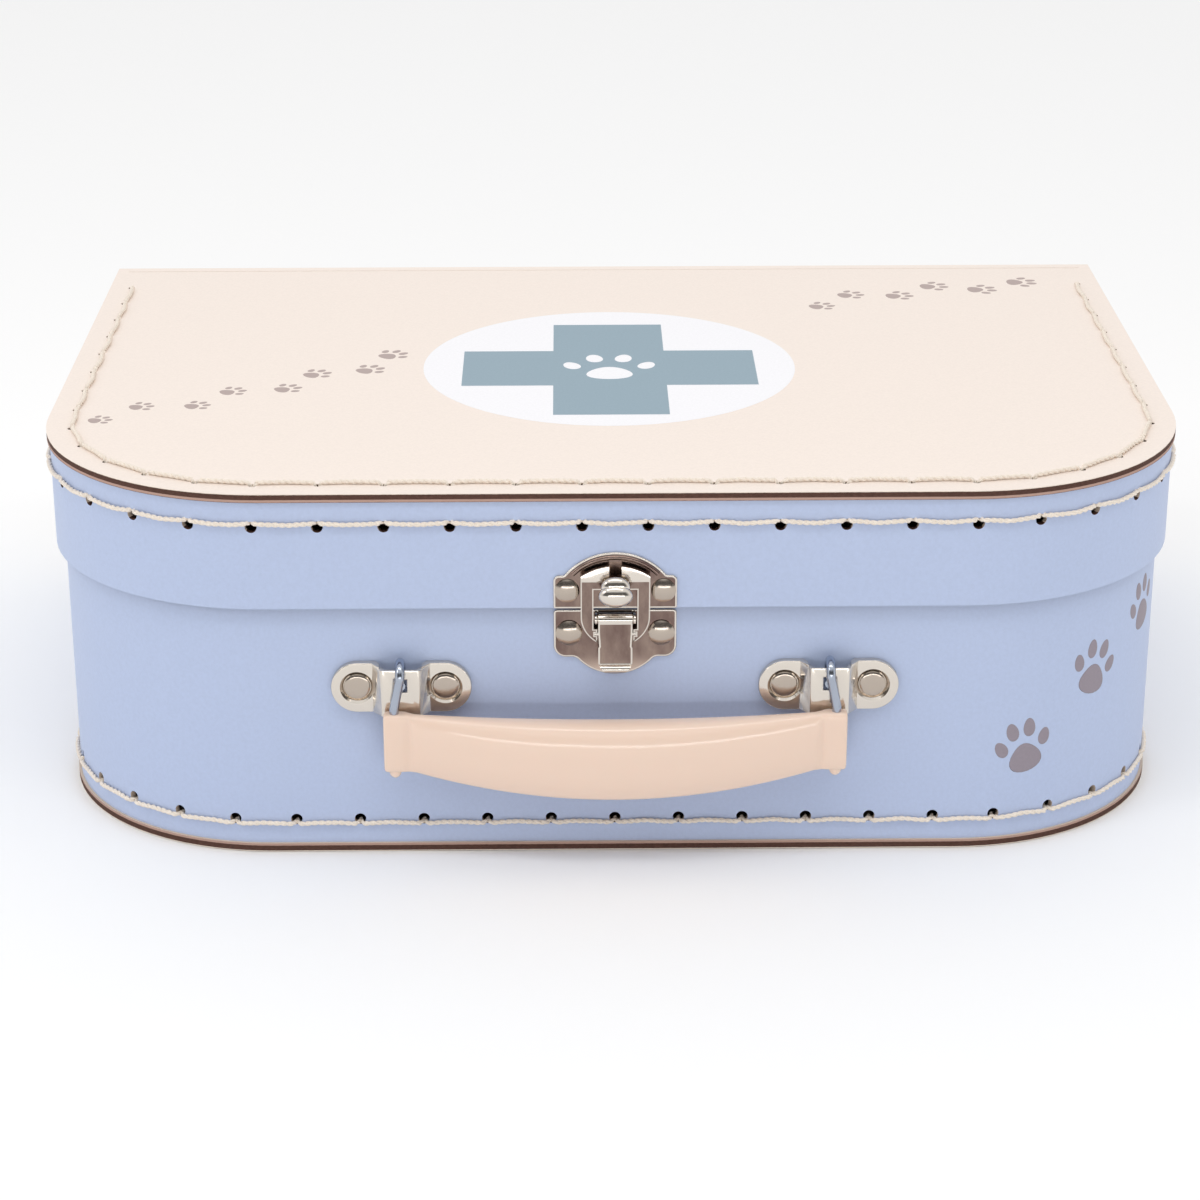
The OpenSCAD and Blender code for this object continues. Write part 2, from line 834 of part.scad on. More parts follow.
// The lever: a strip rolled round the hinge pin, with two cheeks for the loop's bar
module latch_lever() {
    tip_z = pin_z - lever_l;
    tip_w = lever_w - 0.8;
    lip_r = 0.9;
    cheek_r = 1.15;
    cheek_x = lever_w / 2 - 0.95;
    cheek_t = 0.6;
    strip_y = pin_y - barrel_r + 0.04;
    shoulder_z = pin_z - 2.6;            // the strip is straight above this, tapered below
    taper = (lever_w - tip_w) / 2 / (shoulder_z - tip_z - 2.4);
    top_w = lever_w + 2 * taper * (pin_z + 2 * barrel_r - shoulder_z);
    color(nickel)
        difference() {
            union() {
                intersection() {
                    along_x(-lever_w / 2, lever_w / 2) {
                        translate([pin_y, pin_z])
                            circle(r = barrel_r);
                        translate([strip_y, tip_z + lip_r])
                            square([latch_t, lever_l - lip_r]);
                        translate([strip_y - 0.1, tip_z + lip_r])
                            circle(r = lip_r);
                    }
                    on_face(base_face_y, 10) {
                        polygon([
                            [-tip_w / 2, tip_z + 2.4], [tip_w / 2, tip_z + 2.4],
                            [top_w / 2, pin_z + 2 * barrel_r], [-top_w / 2, pin_z + 2 * barrel_r]
                        ]);
                        translate([0, tip_z + 3.9])
                            circle(r = 4);
                    }
                }
                for (x = [-cheek_x - cheek_t / 2, cheek_x - cheek_t / 2])
                    along_x(x, x + cheek_t) {
                        translate([loop_y, loop_z])
                            circle(r = cheek_r);
                        translate([strip_y + latch_t / 2, loop_z - cheek_r])
                            square([loop_y - strip_y - latch_t / 2, 2 * cheek_r]);
                    }
            }
            along_x(-lever_w, lever_w)
                translate([pin_y, pin_z])
                    circle(r = pin_d / 2 + pin_play);
            along_x(-lever_w, lever_w)
                translate([loop_y, loop_z])
                    circle(r = pin_d / 2 + pin_play);
        }
}

// The loop: a flat link leaning on the hook, turning on its round lower bar
module latch_loop() {
    crown_r = 12.7;
    foot_x = lever_w / 2 + 0.2;
    gap_w = neck_w + 2 * neck_play;
    color(nickel)
        translate([0, loop_y, loop_z])
            rotate([loop_lean, 0, 0]) {
                rotate([90, 0, 0])
                    translate([0, 0, -loop_t / 2])
                        linear_extrude(loop_t)
                            difference() {
                                intersection() {
                                    union() {
                                        translate([0, 4.2])
                                            circle(d = loop_w);
                                        translate([-loop_w / 2, 4.2])
                                            square([loop_w, loop_h]);
                                    }
                                    translate([0, loop_h - crown_r])
                                        circle(r = crown_r, $fn = 96);
                                    translate([-loop_w, -2])
                                        square([2 * loop_w, loop_h + 4]);
                                }
                                translate([-loop_window_w / 2, loop_foot])
                                    square([loop_window_w, loop_window_top - loop_foot]);
                                translate([-foot_x, -5])
                                    square([2 * foot_x, 8]);
                                translate([-gap_w / 2, loop_foot])
                                    square([gap_w, loop_h]);
                            }
                translate([-foot_x - 0.6, 0, 0])
                    rotate([0, 90, 0])
                        cylinder(d = pin_d, h = 2 * foot_x + 1.2);
            }
}

bottom_and_back_panel();
base_band();
base_band_thread();
bottom_thread();
tab_rivets();
crease_strip_back();
handle_bracket(-1);  // handle_bracket_left
handle_bracket(1);  // handle_bracket_right
bracket_rivets();
bracket_washers();
latch_base_plate();
latch_base_rivets();
latch_hinge_pin();
lid_panel();
lid_band();
lid_band_thread();
lid_panel_thread();
crease_strip_lid();
latch_lid_plate();
latch_lid_rivets();
latch_lever();
latch_loop();
handle_wire(-1);  // handle_wire_left
handle_wire(1);  // handle_wire_right
handle_grip();
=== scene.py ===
# Looks of the toy doctor case: stitched printed board, nickel latch and brackets, moulded handle.
# Everything is in metres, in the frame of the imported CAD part. Helpers stand in the first section
# that needs them.
import json
import math

import bpy
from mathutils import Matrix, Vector

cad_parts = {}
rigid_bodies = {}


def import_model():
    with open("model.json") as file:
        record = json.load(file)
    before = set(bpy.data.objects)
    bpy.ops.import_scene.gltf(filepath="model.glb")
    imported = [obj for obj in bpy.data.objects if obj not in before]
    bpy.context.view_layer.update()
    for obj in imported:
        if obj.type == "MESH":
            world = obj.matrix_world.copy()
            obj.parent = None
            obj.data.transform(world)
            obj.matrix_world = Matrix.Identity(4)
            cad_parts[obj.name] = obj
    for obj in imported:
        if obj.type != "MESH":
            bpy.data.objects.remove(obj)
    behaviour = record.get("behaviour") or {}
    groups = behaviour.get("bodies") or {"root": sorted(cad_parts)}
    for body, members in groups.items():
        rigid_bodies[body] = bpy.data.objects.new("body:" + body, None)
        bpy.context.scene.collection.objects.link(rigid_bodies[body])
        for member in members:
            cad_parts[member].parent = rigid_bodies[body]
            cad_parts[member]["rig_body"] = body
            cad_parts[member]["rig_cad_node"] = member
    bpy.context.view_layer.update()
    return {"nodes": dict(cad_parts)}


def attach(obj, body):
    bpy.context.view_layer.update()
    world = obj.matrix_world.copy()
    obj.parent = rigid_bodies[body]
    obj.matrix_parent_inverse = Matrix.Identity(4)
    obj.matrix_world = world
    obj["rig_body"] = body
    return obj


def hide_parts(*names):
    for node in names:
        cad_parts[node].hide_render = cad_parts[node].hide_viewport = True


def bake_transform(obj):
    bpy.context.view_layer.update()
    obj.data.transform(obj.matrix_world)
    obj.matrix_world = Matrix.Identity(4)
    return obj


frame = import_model()
bpy.ops.object.select_all(action="DESELECT")

# ---- 1 bottom panel and back wall ----
# One creased sheet of solid fibre board, 1.9 mm, with a cream printed paper outside and a plain
# liner paper inside. The CAD solid is shown; its faces get the paper that covers them.
MM = 0.001
LID_TOP = 83.4 * MM
PANEL_T = 1.9 * MM


def linear(code):
    """An sRGB hex colour as linear red, green, blue, alpha."""
    parts = [int(code[i : i + 2], 16) / 255 for i in (0, 2, 4)]
    return [c / 12.92 if c <= 0.04045 else ((c + 0.055) / 1.055) ** 2.4 for c in parts] + [1.0]


def material(name):
    """A new material with its node tree and its Principled shader."""
    made = bpy.data.materials.new(name)
    made.use_nodes = True
    return made, made.node_tree, made.node_tree.nodes["Principled BSDF"]


def add(tree, kind, settings=None, **inputs):
    """Adds a node. settings are its properties; inputs are numbers, colours or sockets to link from,
    by socket name, with _ for a space or a number for a socket's place."""
    made = tree.nodes.new(kind)
    for key, value in (settings or {}).items():
        setattr(made, key, value)
    for key, value in inputs.items():
        place = int(key[1:]) if key[0] == "i" and key[1:].isdigit() else key.replace("_", " ")
        socket = made.inputs[place]
        if isinstance(value, bpy.types.NodeSocket):
            tree.links.new(value, socket)
        else:
            socket.default_value = value
    return made


def printed_paper(name, colour, grain_mm, grain_depth, rough):
    """Matt film over printed paper on board: a fine pressed grain and a faint unevenness of the board."""
    made, tree, shader = material(name)
    place = add(tree, "ShaderNodeTexCoord").outputs["Object"]
    grain = add(
        tree, "ShaderNodeTexNoise", Vector=place, Scale=1 / (grain_mm * MM), Detail=3.0,
        Roughness=0.62,
    )
    board = add(
        tree, "ShaderNodeTexNoise", Vector=place, Scale=1 / (38 * MM), Detail=1.5, Roughness=0.5,
    )
    fleck = add(
        tree, "ShaderNodeMapRange", Value=grain.outputs["Fac"], From_Min=0.3, From_Max=0.7,
        To_Min=0.972, To_Max=1.028,
    )
    shade = add(
        tree, "ShaderNodeVectorMath", {"operation": "SCALE"}, i0=linear(colour)[:3],
        Scale=fleck.outputs["Result"],
    )
    swell = add(tree, "ShaderNodeBump", Height=board.outputs["Fac"], Strength=1.0, Distance=0.35 * MM)
    pressed = add(
        tree, "ShaderNodeBump", Height=grain.outputs["Fac"], Strength=1.0,
        Distance=grain_depth * MM, Normal=swell.outputs["Normal"],
    )
    tree.links.new(shade.outputs["Vector"], shader.inputs["Base Color"])
    tree.links.new(pressed.outputs["Normal"], shader.inputs["Normal"])
    shader.inputs["Roughness"].default_value = rough
    shader.inputs["IOR"].default_value = 1.48
    return made


def cut_board(name, z_outer=None, z_inner=None):
    """The cut edge of fibre board: rough brown fibres between the two papers, which show as pale
    lines at their heights. The fibres are drawn 0.7 mm thick, far coarser than real, to show."""
    made, tree, shader = material(name)
    place = add(tree, "ShaderNodeTexCoord").outputs["Object"]
    fibre = add(tree, "ShaderNodeMapping", Vector=place, Scale=(1.0, 1.0, 3.5))
    noise = add(
        tree, "ShaderNodeTexNoise", Vector=fibre.outputs["Vector"], Scale=1 / (0.7 * MM),
        Detail=3.0, Roughness=0.6,
    )
    core = add(
        tree, "ShaderNodeMix", {"data_type": "RGBA"}, Factor=noise.outputs["Fac"],
        A=linear("33201a"), B=linear("6b4a3e"),
    )
    colour = core.outputs[2]
    height = add(tree, "ShaderNodeSeparateXYZ", Vector=place).outputs["Z"]
    ragged = add(
        tree, "ShaderNodeMath", {"operation": "MULTIPLY_ADD"}, i0=noise.outputs["Fac"],
        i1=0.10 * MM, i2=height,
    )
    for level, half, paper in ((z_outer, 0.14, "f0e2d3"), (z_inner, 0.24, "b9988a")):
        if level is None:
            continue
        near = add(
            tree, "ShaderNodeMath", {"operation": "SUBTRACT"}, i0=ragged.outputs[0],
            i1=level + 0.05 * MM,
        )
        near = add(tree, "ShaderNodeMath", {"operation": "ABSOLUTE"}, i0=near.outputs[0])
        line = add(
            tree, "ShaderNodeMapRange", Value=near.outputs[0], From_Min=half * MM,
            From_Max=(half + 0.07) * MM, To_Min=1.0, To_Max=0.0,
        )
        colour = add(
            tree, "ShaderNodeMix", {"data_type": "RGBA"}, Factor=line.outputs["Result"], A=colour,
            B=linear(paper),
        ).outputs[2]
    bump = add(tree, "ShaderNodeBump", Height=noise.outputs["Fac"], Strength=1.0, Distance=0.08 * MM)
    tree.links.new(colour, shader.inputs["Base Color"])
    tree.links.new(bump.outputs["Normal"], shader.inputs["Normal"])
    shader.inputs["Roughness"].default_value = 0.85
    shader.inputs["IOR"].default_value = 1.4
    return made


def cover(node, outer, inner, edge, is_outer, is_edge):
    """Gives a board's faces their papers, by each face's normal and centre."""
    piece = frame["nodes"][node]
    piece.data.materials.clear()
    for finish in (outer, inner, edge):
        piece.data.materials.append(finish)
    for face in piece.data.polygons:
        if is_edge(face.normal, face.center):
            face.material_index = 2
        else:
            face.material_index = 0 if is_outer(face.normal, face.center) else 1
    return piece


# Smooth cream film over print: a soft, even sheen. Blue print with a pressed leather grain: a little
# livelier. Bare liner inside: dull and warm. The grain is drawn about twice as coarse as it is.
print_cream = printed_paper("matt_film_cream_print", "f3e6dc", 0.55, 0.006, 0.52)
print_blue = printed_paper("matt_film_blue_print", "b9c6e3", 0.8, 0.020, 0.50)
liner = printed_paper("uncoated_liner_paper", "d3c1af", 0.5, 0.012, 0.8)
edge_lid = cut_board("cut_fibre_board_lid", LID_TOP, LID_TOP - 1.55 * MM)
edge_base = cut_board("cut_fibre_board_base", 0.0, 1.65 * MM)
edge_band = cut_board("cut_fibre_board_band")


def sheet_outward(n, c):
    """Whether a face of the bottom and back sheet looks down or to the rear, where the print is."""
    return n.z < -0.3 or n.y > 0.3


def sheet_cut(n, c):
    """Whether a face of that sheet is a cut edge: round the bottom, up the wall's sides, along its top."""
    upright = abs(n.z) < 0.3 and (abs(n.x) > 0.3 or n.y < -0.3)
    round_bottom = upright and c.z < PANEL_T - 0.01 * MM and c.y < 83 * MM
    up_sides = abs(n.x) > 0.9 and c.z > PANEL_T - 0.1 * MM
    along_top = n.z > 0.9 and c.z > 80 * MM
    return round_bottom or up_sides or along_top


cover("bottom_and_back_panel", print_cream, liner, edge_base, sheet_outward, sheet_cut)

# ---- 2 base band ----
# A strip of 1.4 mm fibre board, blue print outside and liner inside. It is bent round the front and
# folded in behind, where rivets hold its tabs to the back wall. Its upper rim is a cut edge.


def band_outward(n, c):
    """Whether a wall face looks away from the middle of the case."""
    return n.x * c.x + n.y * c.y > 0


def band_cut(n, c):
    """Whether a band's face is its cut rim or lower edge."""
    return abs(n.z) > 0.7


cover("base_band", print_blue, liner, edge_band, band_outward, band_cut)

# ---- 3 lid panel and lid band ----
# The panel is the sheet of the back wall past its fold, cream outside, with cut edges on three
# sides. Its band is a blue strip like the base's, bent round three sides and stitched under it.
cover("lid_panel", print_cream, liner, edge_lid, lambda n, c: n.z > 0.3, lambda n, c: abs(n.z) < 0.3)
cover("lid_band", print_blue, liner, edge_band, band_outward, band_cut)

# ---- 4 stitching ----
# Waxed cotton thread of two plies, 1.1 mm. It runs from hole to hole, dips through the board at
# each hole and is tied across the inner corner to the panel's stitches.

FRONT_RUN = 0.074
CORNER_R = 0.051
CORNER_RUN = math.pi * CORNER_R / 2
PITCH = 0.0138
THREAD_R = 0.00055
PLY_R = 0.64 * THREAD_R
PLY_OUT = 0.38 * THREAD_R
PLY_TURN = 0.0029
# The corners' centre, and how far the stitches and the bands' faces lie in from the panels' edge.
CORNER_Y = -0.034
PANEL_STITCH_IN = 0.0054
LID_BAND_IN = 0.0006
BASE_BAND_IN = 0.0026


def on_plan(run, inset):
    """A point of the stitched sides: x, y and the outward normal, at a station of the plan."""
    side = 1 if run >= 0 else -1
    past = abs(run) - FRONT_RUN
    turn = max(0.0, min(math.pi / 2, past / CORNER_R))
    x = side * (min(abs(run), FRONT_RUN) + (CORNER_R - inset) * math.sin(turn))
    y = CORNER_Y - (CORNER_R - inset) * math.cos(turn) + max(0.0, past - CORNER_RUN)
    return x, y, Vector((side * math.sin(turn), -math.cos(turn), 0))


def cotton(name, colour):
    """Twisted cotton: a soft sheen, fine fibres across the plies, drawn ten times too thick to show."""
    made, tree, shader = material(name)
    place = add(tree, "ShaderNodeTexCoord").outputs["Object"]
    fibre = add(
        tree, "ShaderNodeTexNoise", Vector=place, Scale=1 / (0.35 * MM), Detail=2.0, Roughness=0.6,
    )
    shade = add(
        tree, "ShaderNodeMix", {"data_type": "RGBA"}, Factor=fibre.outputs["Fac"],
        A=linear("e2d3c2"), B=linear(colour),
    )
    bump = add(tree, "ShaderNodeBump", Height=fibre.outputs["Fac"], Strength=1.0, Distance=0.03 * MM)
    tree.links.new(shade.outputs[2], shader.inputs["Base Color"])
    tree.links.new(bump.outputs["Normal"], shader.inputs["Normal"])
    shader.inputs["Roughness"].default_value = 0.72
    shader.inputs["Sheen Weight"].default_value = 0.25
    shader.inputs["Sheen Roughness"].default_value = 0.4
    return made


thread_cotton = cotton("waxed_cotton_thread", "fff6ea")


def twisted(name, lines, finish, body, *nodes):
    """Two plies wound round each line of points, as one mesh. A line is points with the direction
    that lies across it."""
    curve = bpy.data.curves.new(name, "CURVE")
    curve.dimensions = "3D"
    curve.bevel_depth = PLY_R
    curve.bevel_resolution = 1
    curve.use_fill_caps = True
    for points, across in lines:
        for ply in (0, math.pi):
            spline = curve.splines.new("POLY")
            spline.points.add(len(points) - 1)
            gone = 0.0
            for i, point in enumerate(points):
                ahead = points[min(i + 1, len(points) - 1)] - points[max(i - 1, 0)]
                up = across[i].cross(ahead.normalized())
                turn = ply + 2 * math.pi * gone / PLY_TURN
                place = point + PLY_OUT * (math.cos(turn) * up + math.sin(turn) * across[i])
                spline.points[i].co = (*place, 1)
                if i + 1 < len(points):
                    gone += (points[i + 1] - point).length
    piece = bpy.data.objects.new(name, curve)
    bpy.context.scene.collection.objects.link(piece)
    bpy.ops.object.select_all(action="DESELECT")
    piece.select_set(True)
    bpy.context.view_layer.objects.active = piece
    bpy.ops.object.convert(target="MESH")
    bpy.ops.object.shade_smooth()
    piece = bpy.context.object
    piece.data.materials.append(finish)
    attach(piece, body)
    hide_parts(*nodes)
    return piece


def stitch_line(stations, place, depth, pull, bow=0.0):
    """The points of one stitched line. place(run, lift, aside) gives a point and the direction
    across the line; the thread dips by depth at each station, is pulled aside there, and bows
    aside between them."""
    step, dip_run = 0.0003, 0.0012
    start, end = stations[0], stations[-1]
    count = int(round((end - start) / step))
    points, across = [], []
    for i in range(count + 1):
        run = start + (end - start) * i / count
        near = min(abs(run - s) for s in stations)
        slack = 0.5 - 0.5 * math.cos(2 * math.pi * min(near, PITCH / 2) / PITCH)
        wave = 0.00007 * math.sin(run * 430) + 0.00004 * math.sin(run * 1130)
        dip = max(0.0, 1 - near / dip_run)
        lift = THREAD_R * 0.98 - (depth + THREAD_R) * dip ** 1.6
        point, side = place(run, lift, pull * (1 - slack) + (bow + wave) * slack)
        points.append(point)
        across.append(side)
    return points, across


def band_place(inset, z):
    """Places on a band's outer face; aside is upwards."""
    def at(run, lift, aside):
        x, y, _ = on_plan(run, inset - lift)
        return Vector((x, y, z + aside)), Vector((0, 0, 1))
    return at


def panel_place(z, outward):
    """Places on a panel's face; outward is 1 for the lid's top and -1 for the underside."""
    def at(run, lift, aside):
        x, y, normal = on_plan(run, PANEL_STITCH_IN - aside)
        return Vector((x, y, z + outward * lift)), outward * -normal
    return at


def tie(run, inset_a, z_a, inset_b, z_b):
    """A short straight thread inside the corner, from the band's hole to the panel's hole."""
    ax, ay, normal = on_plan(run, inset_a)
    bx, by, _ = on_plan(run, inset_b)
    a, b = Vector((ax, ay, z_a)), Vector((bx, by, z_b))
    along = Vector((-normal.y, normal.x, 0))
    return [a.lerp(b, i / 24) for i in range(25)], [along] * 25


lid_stations = [(i + 0.5) * PITCH for i in range(-19, 19)]
base_stations = [i * PITCH for i in range(-19, 20)]

ties = [tie(s, 0.0018, 0.0764, PANEL_STITCH_IN, 0.0818) for s in lid_stations]
twisted(
    "thread_lid_band",
    [stitch_line(lid_stations, band_place(LID_BAND_IN, 0.0765), 0.0012, 0.00035)] + ties,
    thread_cotton, "lid", "lid_band_thread",
)
twisted(
    "thread_lid_panel",
    [stitch_line(lid_stations, panel_place(LID_TOP, 1), 0.0017, -0.00035, -0.00075)],
    thread_cotton, "lid", "lid_panel_thread",
)
ties = [tie(s, 0.0038, 0.0070, PANEL_STITCH_IN, 0.0016) for s in base_stations]
twisted(
    "thread_base_band",
    [stitch_line(base_stations, band_place(BASE_BAND_IN, 0.0069), 0.0012, -0.00035)] + ties,
    thread_cotton, "base", "base_band_thread",
)
twisted(
    "thread_underside",
    [stitch_line(base_stations, panel_place(0.0011, -1), 0.0012, -0.0002)],
    thread_cotton, "base", "bottom_thread",
)

# ---- 5 handle brackets ----
# Two stamped steel saddles with a bright nickel plate, soft edges from tumbling and faint polishing
# marks. Each has a raised bridge for the wire's eye and a dish pressed round each rivet.


def plated(name, colour, rough):
    """Bright plate on pressed steel: reflections waved by 2.6 mm orange peel, and rubbed streaks in
    the gloss, drawn at 0.5 mm, coarser than the real scratches, so that they show."""
    made, tree, shader = material(name)
    place = add(tree, "ShaderNodeTexCoord").outputs["Object"]
    peel = add(
        tree, "ShaderNodeTexNoise", Vector=place, Scale=1 / (2.6 * MM), Detail=1.0, Roughness=0.5,
    )
    rub = add(
        tree, "ShaderNodeTexNoise", Vector=place, Scale=1 / (0.5 * MM), Detail=3.0, Roughness=0.65,
    )
    gloss = add(
        tree, "ShaderNodeMapRange", Value=rub.outputs["Fac"], From_Min=0.3, From_Max=0.7,
        To_Min=rough * 0.75, To_Max=rough * 1.35,
    )
    bump = add(tree, "ShaderNodeBump", Height=peel.outputs["Fac"], Strength=1.0, Distance=0.03 * MM)
    shader.inputs["Base Color"].default_value = linear(colour)
    shader.inputs["Metallic"].default_value = 1.0
    tree.links.new(gloss.outputs["Result"], shader.inputs["Roughness"])
    tree.links.new(bump.outputs["Normal"], shader.inputs["Normal"])
    return made


nickel = plated("bright_nickel_plate", "dad2c8", 0.12)


def softened(name, node, body, bevel, finish, segments=3, rework=None):
    """A merged copy of a CAD node with small rounded edges. rework may reshape it first."""
    piece = frame["nodes"][node].copy()
    piece.data = piece.data.copy()
    piece.name = name
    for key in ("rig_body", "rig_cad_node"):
        del piece[key]
    piece.parent = None
    bpy.context.scene.collection.objects.link(piece)
    bpy.ops.object.select_all(action="DESELECT")
    piece.select_set(True)
    bpy.context.view_layer.objects.active = piece
    if piece.data.has_custom_normals:
        bpy.ops.mesh.customdata_custom_splitnormals_clear()
    bpy.ops.object.mode_set(mode="EDIT")
    bpy.ops.mesh.select_all(action="SELECT")
    bpy.ops.mesh.remove_doubles(threshold=0.000002)
    bpy.ops.mesh.dissolve_limited(angle_limit=math.radians(0.6))
    bpy.ops.object.mode_set(mode="OBJECT")
    if rework:
        rework(piece)
    if bevel:
        rounding = piece.modifiers.new("edges", "BEVEL")
        rounding.width = bevel
        rounding.segments = segments
        rounding.limit_method = "ANGLE"
        rounding.angle_limit = math.radians(30)
        rounding.use_clamp_overlap = True
        rounding.harden_normals = False
        bpy.ops.object.modifier_apply(modifier="edges")
    bpy.ops.object.shade_smooth_by_angle(angle=math.radians(35))
    piece.data.materials.clear()
    piece.data.materials.append(finish)
    for face in piece.data.polygons:
        face.material_index = 0
    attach(piece, body)
    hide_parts(node)
    return piece


RIVET_PITCH = 18.8 * MM
BRACKET_Z = 39.2 * MM
BRACKET_FACE_Y = -84.1 * MM
BRACKET_X = 45.5 * MM
bracket = softened("bracket_left", "handle_bracket_left", "base", 0.42 * MM, nickel, 4)
for end in (-0.5, 0.5):
    bpy.ops.object.select_all(action="DESELECT")
    bpy.ops.mesh.primitive_cone_add(
        vertices=64, radius1=2.95 * MM, radius2=4.35 * MM, depth=1.8 * MM,
        location=(-BRACKET_X + end * RIVET_PITCH, BRACKET_FACE_Y, BRACKET_Z),
        rotation=(math.pi / 2, 0, 0),
    )
    punch = bpy.context.object
    bpy.ops.object.select_all(action="DESELECT")
    bracket.select_set(True)
    bpy.context.view_layer.objects.active = bracket
    cut = bracket.modifiers.new("dish", "BOOLEAN")
    cut.operation, cut.solver, cut.object = "DIFFERENCE", "EXACT", punch
    bpy.ops.object.modifier_apply(modifier="dish")
    bpy.data.objects.remove(punch)
bpy.ops.object.shade_smooth_by_angle(angle=math.radians(28))
# The other bracket is a copy with its own mesh.
second = bracket.copy()
second.data = bracket.data.copy()
second.name = "bracket_right"
bpy.context.scene.collection.objects.link(second)
for corner in second.data.vertices:
    corner.co.x += 2 * BRACKET_X
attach(second, "base")
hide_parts("handle_bracket_right")

# ---- 6 bracket rivets ----
# Plated steel rivets, dulled by handling, closed on a washer inside the case. The CAD node's shanks
# and inner heads are kept; each flat outer head is turned anew, to lie in the bracket's dish.
worn_nickel = plated("handled_nickel_plate", "b9ada1", 0.16)
CUT_Y = -82.6 * MM
HEAD_Y = -83.05 * MM


def join_into(piece, *others):
    """Joins finished pieces to one object that keeps the first one's name and its finish."""
    bpy.ops.object.select_all(action="DESELECT")
    for other in others:
        other.select_set(True)
    piece.select_set(True)
    bpy.context.view_layer.objects.active = piece
    bpy.ops.object.join()
    return piece


def without_heads(piece):
    """Keeps the shanks and the inner heads of the bracket rivets; their outer heads are new."""
    bpy.ops.object.mode_set(mode="EDIT")
    bpy.ops.mesh.select_all(action="SELECT")
    bpy.ops.mesh.bisect(plane_co=(0, CUT_Y, 0), plane_no=(0, -1, 0), clear_outer=True, use_fill=True)
    bpy.ops.object.mode_set(mode="OBJECT")


rivets = softened(
    "rivets_bracket", "bracket_rivets", "base", 0.0, worn_nickel, rework=without_heads,
)
heads = []
for centre in (-BRACKET_X, BRACKET_X):
    for end in (-0.5, 0.5):
        bpy.ops.object.select_all(action="DESELECT")
        bpy.ops.mesh.primitive_cylinder_add(
            vertices=64, radius=2.85 * MM, depth=0.9 * MM,
            location=(centre + end * RIVET_PITCH, HEAD_Y, BRACKET_Z), rotation=(math.pi / 2, 0, 0),
        )
        head = bpy.context.object
        bpy.ops.object.transform_apply()
        bpy.ops.object.mode_set(mode="EDIT")
        bpy.ops.mesh.select_all(action="DESELECT")
        bpy.ops.object.mode_set(mode="OBJECT")
        for face in head.data.polygons:
            face.select = face.normal.y < -0.9
        bpy.ops.object.mode_set(mode="EDIT")
        bpy.ops.mesh.select_mode(type="FACE")
        for inset, rise in ((0.18, 0.14), (0.7, 0.09), (0.9, 0.04)):
            bpy.ops.mesh.inset(thickness=inset * MM, depth=rise * MM)
        bpy.ops.object.mode_set(mode="OBJECT")
        bpy.ops.object.shade_smooth_by_angle(angle=math.radians(50))
        head.data.materials.append(worn_nickel)
        heads.append(head)
join_into(rivets, *heads)

# ---- 7 latch plates ----
# Two stamped and plated plates, riveted to the lid band and the base band: one with a raised arch and a
# hook, one with knuckles. Over their flats lies a thin sheet of darker colour, a painted brown reflection
# of the dark room; edges and hook show the plain bright nickel.
PLATE_T = 0.6
BASE_FACE_Y = -83.0
LID_FACE_Y = -85.0
EDGE_R = 0.2
PAINTED_REFLECTION_IN = 0.4
PAINTED_REFLECTION_T = 0.1
PAINTED_REFLECTION_PROUD = 0.012


def nickel_with_painted_reflection(name, dark, light, rough):
    """Nickel plate with a brown reflection of the dark room painted into its flats: soft cloudy streaks of
    colour, lighter towards the bottom.
    """
    made = plated(name, light, rough)
    tree = made.node_tree
    place = add(tree, "ShaderNodeTexCoord").outputs["Object"]
    drawn = add(tree, "ShaderNodeMapping", Vector=place, Scale=(1.0, 1.0, 0.45))
    cloud = add(
        tree, "ShaderNodeTexNoise", Vector=drawn.outputs["Vector"], Scale=1 / (4.5 * MM),
        Detail=4.0, Roughness=0.6,
    )
    share = add(tree, "ShaderNodeMapRange", Value=cloud.outputs["Fac"], From_Min=0.36, From_Max=0.68)
    tone = add(
        tree, "ShaderNodeMix", {"data_type": "RGBA"}, Factor=share.outputs["Result"],
        A=linear(dark), B=linear(light),
    )
    # Below about 48 mm, along a ragged line, the painted colour turns lighter towards the bottom.
    height = add(tree, "ShaderNodeSeparateXYZ", Vector=place).outputs["Z"]
    worn = add(
        tree, "ShaderNodeMath", {"operation": "MULTIPLY_ADD"}, i0=cloud.outputs["Fac"], i1=3 * MM,
        i2=height,
    )
    lighter_below = add(
        tree, "ShaderNodeMapRange", {"interpolation_type": "SMOOTHSTEP"}, Value=worn.outputs[0],
        From_Min=48 * MM, From_Max=43.5 * MM,
    )
    tone = add(
        tree, "ShaderNodeMix", {"data_type": "RGBA"}, Factor=lighter_below.outputs["Result"],
        A=tone.outputs[2], B=linear("c4afa1"),
    )
    tree.links.new(tone.outputs[2], tree.nodes["Principled BSDF"].inputs["Base Color"])
    return made


painted_reflection_nickel = nickel_with_painted_reflection("nickel_plate_with_painted_dark_reflection", "74605a", "98857a", 0.17)


def arc(cx, cz, radius, start, stop, steps):
    """Points along an arc, in mm and degrees."""
    turns = [math.radians(start + (stop - start) * i / steps) for i in range(steps + 1)]
    return [(cx + radius * math.cos(t), cz + radius * math.sin(t)) for t in turns]


def both_sides(half):
    """A closed outline from its right half, which runs from the bottom middle to the top middle."""
    return half + [(-x, z) for x, z in reversed(half) if x > 0.001]


def drawn_in(outline, inset):
    """An anticlockwise outline moved inwards."""
    moved = []
    for i, here in enumerate(outline):
        here = Vector(here)
        come = (here - Vector(outline[i - 1])).normalized()
        go = (Vector(outline[(i + 1) % len(outline)]) - here).normalized()
        across = (Vector((-come.y, come.x)) + Vector((-go.y, go.x))).normalized()
        moved.append(here + across * inset / max(0.5, across.dot(Vector((-come.y, come.x)))))
    return moved


